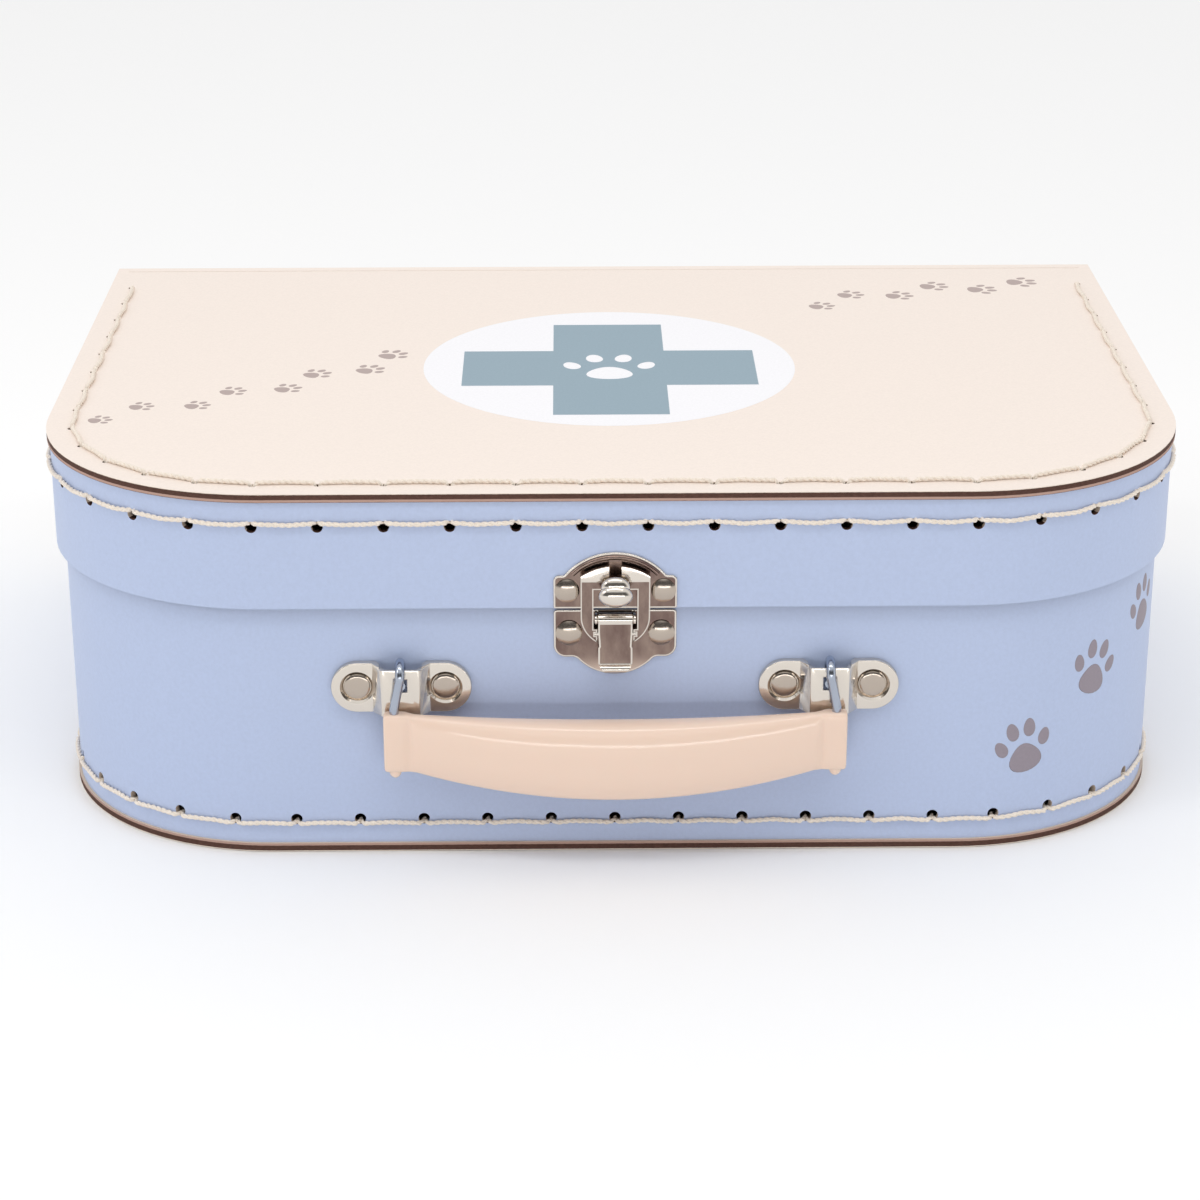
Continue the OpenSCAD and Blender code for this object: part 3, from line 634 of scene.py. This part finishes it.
def stamped(name, outline, face_y, thick, rounding, finish):
    """Stamped sheet: an outline filled, given its thickness and round edges. face_y is its front."""
    curve = bpy.data.curves.new(name, "CURVE")
    curve.dimensions, curve.fill_mode = "2D", "BOTH"
    curve.extrude = (thick / 2 - rounding) * MM
    curve.bevel_depth, curve.bevel_resolution = rounding * MM, 4
    spline = curve.splines.new("POLY")
    edge = drawn_in(outline, rounding) if rounding else outline
    spline.points.add(len(edge) - 1)
    for point, (x, z) in zip(spline.points, edge):
        point.co = (x * MM, z * MM, 0, 1)
    spline.use_cyclic_u = True
    piece = bpy.data.objects.new(name, curve)
    bpy.context.scene.collection.objects.link(piece)
    bpy.ops.object.select_all(action="DESELECT")
    piece.select_set(True)
    bpy.context.view_layer.objects.active = piece
    bpy.ops.object.convert(target="MESH")
    piece = bpy.context.object
    for corner in piece.data.vertices:
        x, z, out = corner.co
        corner.co = (x, (face_y + thick / 2) * MM - out, z)
    bpy.ops.object.mode_set(mode="EDIT")
    bpy.ops.mesh.select_all(action="SELECT")
    bpy.ops.mesh.remove_doubles(threshold=0.000002)
    bpy.ops.mesh.normals_make_consistent(inside=False)
    bpy.ops.object.mode_set(mode="OBJECT")
    bpy.ops.object.shade_smooth_by_angle(angle=math.radians(35))
    piece.data.materials.append(finish)
    return piece


def only_knuckles(piece):
    """Keeps what stands in front of the base plate's sheet: the two knuckles of the hinge pin."""
    bpy.ops.object.mode_set(mode="EDIT")
    bpy.ops.mesh.select_all(action="SELECT")
    bpy.ops.mesh.bisect(
        plane_co=(0, (BASE_FACE_Y - 0.2) * MM, 0), plane_no=(0, 1, 0), clear_outer=True,
        use_fill=True, threshold=1e-6,
    )
    bpy.ops.object.mode_set(mode="OBJECT")


base_outline = both_sides(
    arc(0, 52.2, 10.6, -90, -42.9, 24) + arc(9.228, 43.62, 2.0, 135, 92, 10)
    + arc(10.4, 48.2, 2.6, -90, 0, 14) + arc(12.2, 55.6, 0.8, 0, 90, 8) + [(0, 56.4)]
)
plate_base = softened(
    "plate_base", "latch_base_plate", "base", 0.1 * MM, nickel, rework=only_knuckles,
)
# A thin sheet over the base plate's flat carries the painted dark reflection.
join_into(
    plate_base,
    stamped("sheet", base_outline, BASE_FACE_Y, PLATE_T, EDGE_R, nickel),
    stamped(
        "painted_reflection_sheet", drawn_in(base_outline, PAINTED_REFLECTION_IN), BASE_FACE_Y - PAINTED_REFLECTION_PROUD, PAINTED_REFLECTION_T, 0.0,
        painted_reflection_nickel,
    ),
)
lid_outline = both_sides(
    [(0, 57.5)] + arc(12.6, 57.9, 0.4, -90, 0, 5) + arc(11.8, 63.7, 1.2, 0, 90, 10) + [(11.0, 64.9)]
    + arc(0, 56.3, 13.8, 39.4, 90, 30)
)
plate_lid = stamped("plate_lid", lid_outline, LID_FACE_Y, PLATE_T, EDGE_R, nickel)
# A thin sheet over the lid plate's flat carries the painted dark reflection.
painted_reflection_sheet = stamped(
    "painted_reflection_sheet", drawn_in(lid_outline, PAINTED_REFLECTION_IN), LID_FACE_Y - PAINTED_REFLECTION_PROUD, PAINTED_REFLECTION_T, 0.0, painted_reflection_nickel,
)
# The raised arch along the plate's round top.
rim_curve = bpy.data.curves.new("rim", "CURVE")
rim_curve.dimensions, rim_curve.use_fill_caps = "3D", True
rim_curve.bevel_depth, rim_curve.bevel_resolution = 0.6 * MM, 4
rim_line = rim_curve.splines.new("POLY")
arch = arc(0, 56.3, 12.75, 45, 135, 48)
rim_line.points.add(len(arch) - 1)
for point, (x, z) in zip(rim_line.points, arch):
    point.co = (x * MM, LID_FACE_Y * MM, z * MM, 1)
rim = bpy.data.objects.new("rim", rim_curve)
bpy.context.scene.collection.objects.link(rim)
bpy.ops.object.select_all(action="DESELECT")
rim.select_set(True)
bpy.context.view_layer.objects.active = rim
bpy.ops.object.convert(target="MESH")
bpy.ops.object.shade_smooth_by_angle(angle=math.radians(50))
rim = bpy.context.object
# The arch carries the painted dark reflection too.
rim.data.materials.append(painted_reflection_nickel)
# The hook: a head pressed in two swells on a short neck.
knobs = [painted_reflection_sheet, rim]
for place, radii in (
    ((0, -89.9, 62.25), (3.65, 1.75, 2.5)), ((0, -89.25, 63.8), (3.1, 1.35, 2.45)),
    ((0, -87.2, 61.0), (1.1, 2.9, 0.95)),
):
    bpy.ops.object.select_all(action="DESELECT")
    bpy.ops.mesh.primitive_uv_sphere_add(segments=48, ring_count=24, radius=1)
    knob = bpy.context.object
    for corner in knob.data.vertices:
        corner.co = [MM * (c + r * v) for c, r, v in zip(place, radii, corner.co)]
    bpy.ops.object.shade_smooth()
    knob.data.materials.append(nickel)
    knobs.append(knob)
join_into(plate_lid, *knobs)
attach(plate_lid, "lid")
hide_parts("latch_lid_plate")

# ---- 8 latch lever ----
# A stamped and plated tongue rolled round the hinge pin, its end turned out as a lip for the thumb.
# Its flat front carries the painted brown reflection, between edges of plain bright nickel.


def flats(piece, finish, facing=(0, -1, 0), low=0.0, high=1.0, rim=0.0):
    """Gives the faces that look one way, between two heights, another finish: here the painted dark
    reflection. A rim of this width round them, and the edges, keep the first finish."""
    piece.data.materials.append(finish)
    place = len(piece.data.materials) - 1
    way = Vector(facing).normalized()
    bpy.ops.object.select_all(action="DESELECT")
    piece.select_set(True)
    bpy.context.view_layer.objects.active = piece
    bpy.ops.object.mode_set(mode="EDIT")
    bpy.ops.mesh.select_mode(type="FACE")
    bpy.ops.mesh.select_all(action="DESELECT")
    bpy.ops.object.mode_set(mode="OBJECT")
    for face in piece.data.polygons:
        level = face.normal.dot(way) > 0.996 and low < face.center.z < high
        face.select = level and face.area > 1.5 * MM * MM
    if rim:
        bpy.ops.object.mode_set(mode="EDIT")
        bpy.ops.mesh.inset(thickness=rim, depth=0, use_even_offset=True)
        bpy.ops.object.mode_set(mode="OBJECT")
    for face in piece.data.polygons:
        if face.select:
            face.material_index = place
    return piece


lever = softened("lever", "latch_lever", "lever", 0.24 * MM, nickel, 4)
# The painted dark reflection on the lever's flat front.
flats(lever, painted_reflection_nickel, low=45.4 * MM, high=54.2 * MM, rim=0.34 * MM)

# ---- 9 latch loop ----
# A stamped and plated frame that the lever pulls down over the hook. Its upper part is folded back
# a little, and its round lower bar turns in the lever's cheeks.
CREASE_Z = 64.5 * MM


def creased(piece):
    """Folds the loop's upper part back a little along a line across its straps."""
    bpy.ops.object.mode_set(mode="EDIT")
    bpy.ops.mesh.select_all(action="SELECT")
    bpy.ops.mesh.bisect(plane_co=(0, 0, CREASE_Z), plane_no=(0, 0, 1))
    bpy.ops.object.mode_set(mode="OBJECT")
    for corner in piece.data.vertices:
        corner.co.y += max(0.0, corner.co.z - CREASE_Z) * 0.24


loop = softened("loop", "latch_loop", "loop", 0.2 * MM, nickel, 3, rework=creased)
# The frame leans out by 8 degrees, and its flats with it; they get the painted dark reflection.
flats(loop, painted_reflection_nickel, (0, -0.990, -0.139), 0.0, CREASE_Z, rim=0.24 * MM)

# ---- 10 small fasteners ----
# The washers, the latch's hinge pin, and the rivets of the latch and of the band's tabs: headed
# steel with the same plate, a little dull from handling.
for name, node, body in (
    ("washers", "bracket_washers", "base"), ("rivets_plate_base", "latch_base_rivets", "base"),
    ("hinge_pin", "latch_hinge_pin", "base"), ("rivets_tab", "tab_rivets", "base"),
    ("rivets_plate_lid", "latch_lid_rivets", "lid"),
):
    softened(name, node, body, 0.0, worn_nickel)

# ---- 11 handle wires ----
# Bright drawn steel wire, 2 mm: one end is an eye round the bracket's bar, and the other is fixed
# in the handle's end block. Steel looks bluer and darker than the nickel beside it.
steel = plated("bright_drawn_steel_wire", "aab1be", 0.16)
for side in ("left", "right"):
    softened(f"wire_{side}", f"handle_wire_{side}", "handle", 0.0, steel)

# ---- 12 handle ----
# One glossy injection moulding, peach cream: a swelling grip between two end blocks, with a nub
# below each. The wires' ends are pressed into the blocks.


def moulded(name, colour):
    """Gloss injection moulding: clear highlights, waved a little by 9 mm sink, over a faintly soft body."""
    made, tree, shader = material(name)
    place = add(tree, "ShaderNodeTexCoord").outputs["Object"]
    sink = add(tree, "ShaderNodeTexNoise", Vector=place, Scale=1 / (9 * MM), Detail=1.0, Roughness=0.5)
    bump = add(tree, "ShaderNodeBump", Height=sink.outputs["Fac"], Strength=1.0, Distance=0.10 * MM)
    tree.links.new(bump.outputs["Normal"], shader.inputs["Normal"])
    shader.inputs["Base Color"].default_value = linear(colour)
    shader.inputs["Roughness"].default_value = 0.11
    shader.inputs["IOR"].default_value = 1.5
    shader.inputs["Subsurface Weight"].default_value = 0.08
    shader.inputs["Subsurface Radius"].default_value = (0.0012, 0.0007, 0.0005)
    shader.inputs["Subsurface Scale"].default_value = 1.0
    return made


handle_gloss = moulded("gloss_moulded_peach", "f0d5c2")


def grip_section(x):
    """Half height, half depth, centre y, centre z and squareness of the handle at x, in mm."""
    run = abs(x)
    swell = 1 - min(run / 44.6, 1) ** 2
    u = max(0.0, min(1.0, (run - 42.2) / 2.6))
    block = u * u * (3 - 2 * u)
    half_h = (1 - block) * (6.4 + 2.5 * swell) + block * 6.6
    half_d = (1 - block) * (1.7 + 2.9 * swell) + block * 1.9 - 0.4 * math.exp(
        -(((run - 43.9) / 0.75) ** 2)
    )
    if run > 48.5:
        worn = 0.7 - math.sqrt(max(0.0, 0.49 - (run - 48.5) ** 2))
        half_h, half_d = half_h - worn, half_d - worn
    return half_h, half_d, -89 - 3.6 * swell, 28.8 - 2.8 * swell, 2.6 + 3.6 * block


halves = [
    0, 3, 6, 9, 12, 15, 18, 21, 24, 27, 30, 32.5, 35, 37, 38.5, 40, 41, 41.8, 42.4, 42.8, 43.2,
    43.5, 43.8, 44.1, 44.4, 44.8, 45.3, 46.5, 48.0, 48.5, 48.8, 49.0, 49.13, 49.2,
]
stations = [-x for x in reversed(halves[1:])] + halves
bpy.ops.object.select_all(action="DESELECT")
bpy.ops.mesh.primitive_cylinder_add(
    vertices=64, radius=5 * MM, depth=(stations[1] - stations[0]) * MM, end_fill_type="NGON",
    location=((stations[0] + stations[1]) / 2 * MM, 0, 0), rotation=(0, math.pi / 2, 0),
)
grip = bpy.context.object
bpy.ops.object.transform_apply()
for here, ahead in zip(stations[1:], stations[2:]):
    bpy.ops.object.mode_set(mode="EDIT")
    bpy.ops.mesh.select_mode(type="FACE")
    bpy.ops.mesh.select_all(action="DESELECT")
    bpy.ops.object.mode_set(mode="OBJECT")
    for face in grip.data.polygons:
        face.select = face.normal.x > 0.9
    bpy.ops.object.mode_set(mode="EDIT")
    bpy.ops.mesh.extrude_region_move(TRANSFORM_OT_translate={"value": ((ahead - here) * MM, 0, 0)})
    bpy.ops.object.mode_set(mode="OBJECT")
for corner in grip.data.vertices:
    x = min(stations, key=lambda station: abs(station * MM - corner.co.x))
    turn = math.atan2(corner.co.z, corner.co.y)
    half_h, half_d, mid_y, mid_z, square = grip_section(x)
    c, d = math.cos(turn), math.sin(turn)
    corner.co = (
        x * MM,
        (mid_y + half_d * math.copysign(abs(c) ** (2 / square), c)) * MM,
        (mid_z + half_h * math.copysign(abs(d) ** (2 / square), d)) * MM,
    )
bpy.ops.object.shade_smooth_by_angle(angle=math.radians(50))
grip.name = "grip"
grip.data.materials.append(handle_gloss)
nubs = []
for side in (-46.9, 46.9):
    bpy.ops.object.select_all(action="DESELECT")
    bpy.ops.mesh.primitive_uv_sphere_add(segments=32, ring_count=16, radius=1)
    nub = bpy.context.object
    for corner in nub.data.vertices:
        corner.co = (
            (side + 1.35 * corner.co.x) * MM, (
                -89.2 + 1.3 * corner.co.y
            ) * MM, (22.3 + 1.7 * corner.co.z) * MM,
        )
    bpy.ops.object.shade_smooth()
    nub.data.materials.append(handle_gloss)
    nubs.append(nub)
join_into(grip, *nubs)
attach(grip, "handle")
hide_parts("handle_grip")

# ---- 13 fold cloth and fold skin ----
# The lid is hinged by its own sheet, creased at the rear top edge. Inside, a woven paper tape is pasted
# over the crease; outside, the printed paper runs on over it.


def woven(name, colour, pitch_mm):
    """Thin woven paper tape: warp and weft as a fine bump, with uneven threads. The weave is drawn
    at 0.9 mm, three times its real size, so that it shows."""
    made, tree, shader = material(name)
    place = add(tree, "ShaderNodeTexCoord").outputs["Object"]
    # Turned by an eighth about X, the second thread runs on round the fold: up the wall, along the lid.
    place = add(
        tree, "ShaderNodeMapping", Vector=place, Rotation=(-math.pi / 4, 0, 0),
        Scale=(1, 2 ** 0.5, 2 ** 0.5),
    ).outputs["Vector"]
    cloth = []
    for way in ("X", "Z"):
        wave = add(
            tree, "ShaderNodeTexWave", {
                "wave_type": "BANDS", "bands_direction": way, "wave_profile": "SIN",
            },
            Vector=place, Scale=1 / (pitch_mm * MM) / 3.2, Distortion=0.4, Detail=1.0, Detail_Scale=2.0,
        )
        cloth.append(wave.outputs["Fac"])
    height = add(tree, "ShaderNodeMath", {"operation": "MAXIMUM"}, i0=cloth[0], i1=cloth[1])
    shade = add(
        tree, "ShaderNodeMix", {"data_type": "RGBA"}, Factor=height.outputs[0], A=linear("c9b7a2"),
        B=linear(colour),
    )
    bump = add(tree, "ShaderNodeBump", Height=height.outputs[0], Strength=1.0, Distance=0.05 * MM)
    tree.links.new(shade.outputs[2], shader.inputs["Base Color"])
    tree.links.new(bump.outputs["Normal"], shader.inputs["Normal"])
    shader.inputs["Roughness"].default_value = 0.8
    return made


def folded(name, path, half_width, thickness, finish):
    """A strip across the case, drawn out along a path of (y, z) in mm, then given its thickness."""
    bpy.ops.object.select_all(action="DESELECT")
    bpy.ops.mesh.primitive_plane_add(size=1)
    piece = bpy.context.object
    piece.name = name
    for corner in piece.data.vertices:
        y, z = path[0] if corner.co.y < 0 else path[1]
        corner.co = (half_width * MM * (1 if corner.co.x > 0 else -1), y * MM, z * MM)
    for here, ahead in zip(path[1:], path[2:]):
        bpy.ops.object.mode_set(mode="EDIT")
        bpy.ops.mesh.select_mode(type="EDGE")
        bpy.ops.mesh.select_all(action="DESELECT")
        bpy.ops.object.mode_set(mode="OBJECT")
        for edge in piece.data.edges:
            ends = [piece.data.vertices[v].co for v in edge.vertices]
            edge.select = all(
                abs(end.y - here[0] * MM) < 1e-6 and abs(end.z - here[1] * MM) < 1e-6 for end in ends
            )
        bpy.ops.object.mode_set(mode="EDIT")
        bpy.ops.mesh.extrude_region_move(
            TRANSFORM_OT_translate={"value": (0, (ahead[0] - here[0]) * MM, (ahead[1] - here[1]) * MM)}
        )
        bpy.ops.object.mode_set(mode="OBJECT")
    body = piece.modifiers.new("thickness", "SOLIDIFY")
    body.thickness, body.offset = thickness * MM, 0
    bpy.ops.object.modifier_apply(modifier="thickness")
    bpy.ops.object.mode_set(mode="EDIT")
    bpy.ops.mesh.select_all(action="SELECT")
    bpy.ops.mesh.normals_make_consistent(inside=False)
    bpy.ops.object.mode_set(mode="OBJECT")
    bpy.ops.object.shade_smooth_by_angle(angle=math.radians(40))
    piece.data.materials.append(finish)
    return piece


fold_tape = woven("woven_paper_tape", "e9dcc9", 0.9)
bend = [
    (82.15 + 0.8 * math.cos(math.radians(a)), 80.55 + 0.8 * math.sin(math.radians(a)))
    for a in range(0, 91, 6)
]
up_wall = [(82.95, 69.4), (82.95, 75.0), (82.95, 79.2), (82.95, 80.0)]
along_lid = [(81.6, 81.35), (80.5, 81.35), (76, 81.35), (70.9, 81.35)]
tape = folded("crease_tape", up_wall + bend + along_lid, 99, 0.3, fold_tape)
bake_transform(tape)
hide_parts("crease_strip_back", "crease_strip_lid")

bend = [
    (84.64 + 0.4 * math.cos(math.radians(a)), 83.04 + 0.4 * math.sin(math.radians(a)))
    for a in range(0, 91, 9)
]
up_wall = [(85.04, 77.5), (85.04, 81.0), (85.04, 82.4)]
along_lid = [(84.2, 83.44), (83.2, 83.44), (81.8, 83.44)]
skin = folded("fold_skin", up_wall + bend + along_lid, 122.2, 0.07, print_cream)
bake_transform(skin)

# ---- 14 prints ----
# Screen-printed motifs, as thin films of matt ink on the paper: a round badge with a plain cross and
# a paw, trails of small paws across the lid, and three larger ones on the base band.


def ink(name, colour):
    """Matt printing ink: no gloss, and a fleck of stipple at 0.6 mm, coarser than real so that it
    shows."""
    made, tree, shader = material(name)
    place = add(tree, "ShaderNodeTexCoord").outputs["Object"]
    grain = add(
        tree, "ShaderNodeTexNoise", Vector=place, Scale=1 / (0.6 * MM), Detail=3.0, Roughness=0.6,
    )
    fleck = add(
        tree, "ShaderNodeMapRange", Value=grain.outputs["Fac"], From_Min=0.3, From_Max=0.7,
        To_Min=0.97, To_Max=1.03,
    )
    shade = add(
        tree, "ShaderNodeVectorMath", {"operation": "SCALE"}, i0=linear(colour)[:3],
        Scale=fleck.outputs["Result"],
    )
    tree.links.new(shade.outputs["Vector"], shader.inputs["Base Color"])
    shader.inputs["Roughness"].default_value = 0.55
    return made


ink_white = ink("white_ink", "f6f5f8")
ink_blue = ink("slate_blue_ink", "8fa5b2")
ink_taupe = ink("taupe_ink", "b3a19c")
ink_grey = ink("warm_grey_ink", "958b94")

# The badge: a round film of white ink.
bpy.ops.mesh.primitive_cylinder_add(
    vertices=160, radius=43.2 * MM, depth=0.05 * MM, location=(0, 0.001, LID_TOP)
)
badge = bpy.context.object
bpy.ops.object.transform_apply()
badge.name = "badge_disc"
badge.data.materials.append(ink_white)
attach(badge, "lid")

# The cross: one square, its four sides drawn out to equal arms.
CROSS_SQUARE = 0.026
CROSS_ARM = 0.021
bpy.ops.object.select_all(action="DESELECT")
bpy.ops.mesh.primitive_cube_add(size=1, location=(0, -0.0005, LID_TOP))
cross = bpy.context.object
cross.name = "badge_cross"
cross.scale = (CROSS_SQUARE, CROSS_SQUARE, 0.1 * MM)
bpy.ops.object.transform_apply()
for way in (Vector((1, 0, 0)), Vector((-1, 0, 0)), Vector((0, 1, 0)), Vector((0, -1, 0))):
    bpy.ops.object.mode_set(mode="EDIT")
    bpy.ops.mesh.select_all(action="DESELECT")
    bpy.ops.object.mode_set(mode="OBJECT")
    reach = max(face.center.dot(way) for face in cross.data.polygons)
    for face in cross.data.polygons:
        outermost = face.normal.dot(way) > 0.9 and face.center.dot(way) > reach - 0.0001
        face.select = outermost and abs(face.center.dot(way.yxz)) < 0.004
    bpy.ops.object.mode_set(mode="EDIT")
    bpy.ops.mesh.select_mode(type="FACE")
    bpy.ops.mesh.extrude_region_move(TRANSFORM_OT_translate={"value": tuple(CROSS_ARM * way)})
    bpy.ops.object.mode_set(mode="OBJECT")
cross.data.materials.append(ink_blue)
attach(cross, "lid")


def pads():
    """One paw 1 unit wide, of flattened drops: a main pad and four toes. Each is (x, y, half width,
    half height, turn in degrees, how much wider its lower end is)."""
    return (
        (0.0, -0.17, 0.27, 0.235, 0, 0.30),
        (-0.37, 0.07, 0.098, 0.14, 24, 0.12), (0.37, 0.07, 0.098, 0.14, -24, 0.12),
        (-0.145, 0.30, 0.102, 0.15, 8, 0.12), (0.145, 0.30, 0.102, 0.15, -8, 0.12),
    )


def paw(name, size, turn, place, film, finish):
    """A printed paw. place(u, v, lift) puts it on its surface."""
    drops = []
    for x, y, half_w, half_h, lean, fat in pads():
        bpy.ops.object.select_all(action="DESELECT")
        bpy.ops.mesh.primitive_uv_sphere_add(segments=24, ring_count=10, radius=1)
        drop = bpy.context.object
        tilt = math.radians(lean)
        for corner in drop.data.vertices:
            u, v, w = corner.co
            u *= half_w * (1 - fat * v)
            v *= half_h
            u, v = u * math.cos(tilt) - v * math.sin(tilt), u * math.sin(tilt) + v * math.cos(tilt)
            u, v = x + u, y + v
            u, v = u * math.cos(turn) - v * math.sin(turn), u * math.sin(turn) + v * math.cos(turn)
            corner.co = place(size * u, size * v, w * (film if w > 0 else 0.0002))
        drops.append(drop)
    bpy.ops.object.select_all(action="DESELECT")
    for drop in drops:
        drop.select_set(True)
    bpy.context.view_layer.objects.active = drops[0]
    bpy.ops.object.join()
    piece = bpy.context.object
    piece.name = name
    bpy.ops.object.shade_smooth()
    piece.data.materials.append(finish)
    return piece


def on_lid(x, y):
    """Places on the lid's top, round a point."""
    return lambda u, v, lift: Vector((x + u, y + v, LID_TOP + lift))


def on_base_band(run, z):
    """Places on the base band's face, round a station and a height."""
    def at(u, v, lift):
        px, py, _ = on_plan(run + u, BASE_BAND_IN - lift)
        return Vector((px, py, z + v))
    return at


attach(paw("badge_paw", 0.0235, 0.0, on_lid(0, -0.0005), 0.00009, ink_white), "lid")
# Two trails across the lid: each step is set to one side of a gently curved way, in turn.
for trail, (x0, y0, heading, curve, steps) in enumerate(
    ((-0.1145, -0.034, 24, 3.0, 8), (0.052, 0.051, 26, -5.0, 6))
):
    x, y, way = x0, y0, math.radians(heading)
    for step in range(steps):
        size = 0.0062 + 0.00028 * step + 0.0012 * trail
        aside = 0.0026 if step % 2 else -0.0026
        at = (x - aside * math.sin(way), y + aside * math.cos(way))
        piece = paw(f"lid_paw_{trail}_{step}", size, way - math.pi / 2, on_lid(*at), 0.00003, ink_taupe)
        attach(piece, "lid")
        x, y = x + 0.0112 * math.cos(way), y + 0.0112 * math.sin(way)
        way += math.radians(curve)
for step, (run, z, turn) in enumerate(
    ((0.0895, 0.0225, 0.2), (0.1085, 0.0375, -0.25), (0.129, 0.0465, 0.2))
):
    piece = paw(f"front_paw_{step}", 0.0145, turn, on_base_band(run, z), 0.00003, ink_grey)
    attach(piece, "base")

# ---- 15 studio ----
# A white paper floor that runs to the horizon, soft light from all round with long strips above
# and low in front for the metal and the handle, and the photo's camera.
bpy.ops.mesh.primitive_plane_add(size=30, location=(0, 0, -0.0002))
floor = bpy.context.object
floor.name = "studio_floor"
floor_white, tree, shader = material("white_paper_sweep")
shader.inputs["Base Color"].default_value = linear("fdfdfd")
shader.inputs["Roughness"].default_value = 0.9
floor.data.materials.append(floor_white)

world = bpy.data.worlds.new("studio_air")
bpy.context.scene.world = world
world.use_nodes = True
# The room is white but for a dim opening behind the camera, which gives bright metal its dark lines.
air = world.node_tree
sky = air.nodes["Background"]
toward = add(air, "ShaderNodeSeparateXYZ", Vector=add(air, "ShaderNodeTexCoord").outputs["Generated"])
front = add(
    air, "ShaderNodeMapRange", {"interpolation_type": "SMOOTHSTEP"}, Value=toward.outputs["Y"],
    From_Min=-0.35, From_Max=-0.7,
)
low = add(
    air, "ShaderNodeMapRange", {"interpolation_type": "SMOOTHSTEP"}, Value=toward.outputs["Z"],
    From_Min=0.62, From_Max=0.42,
)
dim = add(
    air, "ShaderNodeMath", {"operation": "MULTIPLY"}, i0=front.outputs["Result"],
    i1=low.outputs["Result"],
)
strength = add(air, "ShaderNodeMapRange", Value=dim.outputs[0], To_Min=0.93, To_Max=0.13)
air.links.new(strength.outputs["Result"], sky.inputs["Strength"])
sky.inputs["Color"].default_value = (1.0, 1.0, 1.0, 1)
bpy.context.scene.view_settings.view_transform = "Standard"


def softbox(name, place, aim, width, height, power):
    """A rectangular area light aimed at a point."""
    lamp = bpy.data.lights.new(name, "AREA")
    lamp.shape = "RECTANGLE"
    lamp.size, lamp.size_y = width, height
    lamp.energy = power
    holder = bpy.data.objects.new(name, lamp)
    bpy.context.scene.collection.objects.link(holder)
    holder.location = place
    holder.rotation_euler = (Vector(aim) - Vector(place)).to_track_quat("-Z", "Y").to_euler()
    return holder


softbox("strip_above", (-0.05, -0.5, 1.0), (0, 0, 0.04), 1.2, 0.16, 2.4)
softbox("fill_left", (-1.0, -0.6, 0.7), (0, 0, 0.04), 0.3, 0.3, 1.0)
softbox("strip_low", (0.1, -1.45, 0.07), (0, 0, 0.05), 1.5, 0.12, 2.6)

camera_data = bpy.data.cameras.new("camera")
camera_data.lens = 92.6
camera_data.sensor_width = 36
camera_data.clip_start = 0.01
camera = bpy.data.objects.new("camera", camera_data)
bpy.context.scene.collection.objects.link(camera)
camera.location = (-0.0103, -0.6859, 0.3032)
camera.rotation_euler = (math.radians(67.92), math.radians(0.06), math.radians(-0.70))
bpy.context.scene.camera = camera
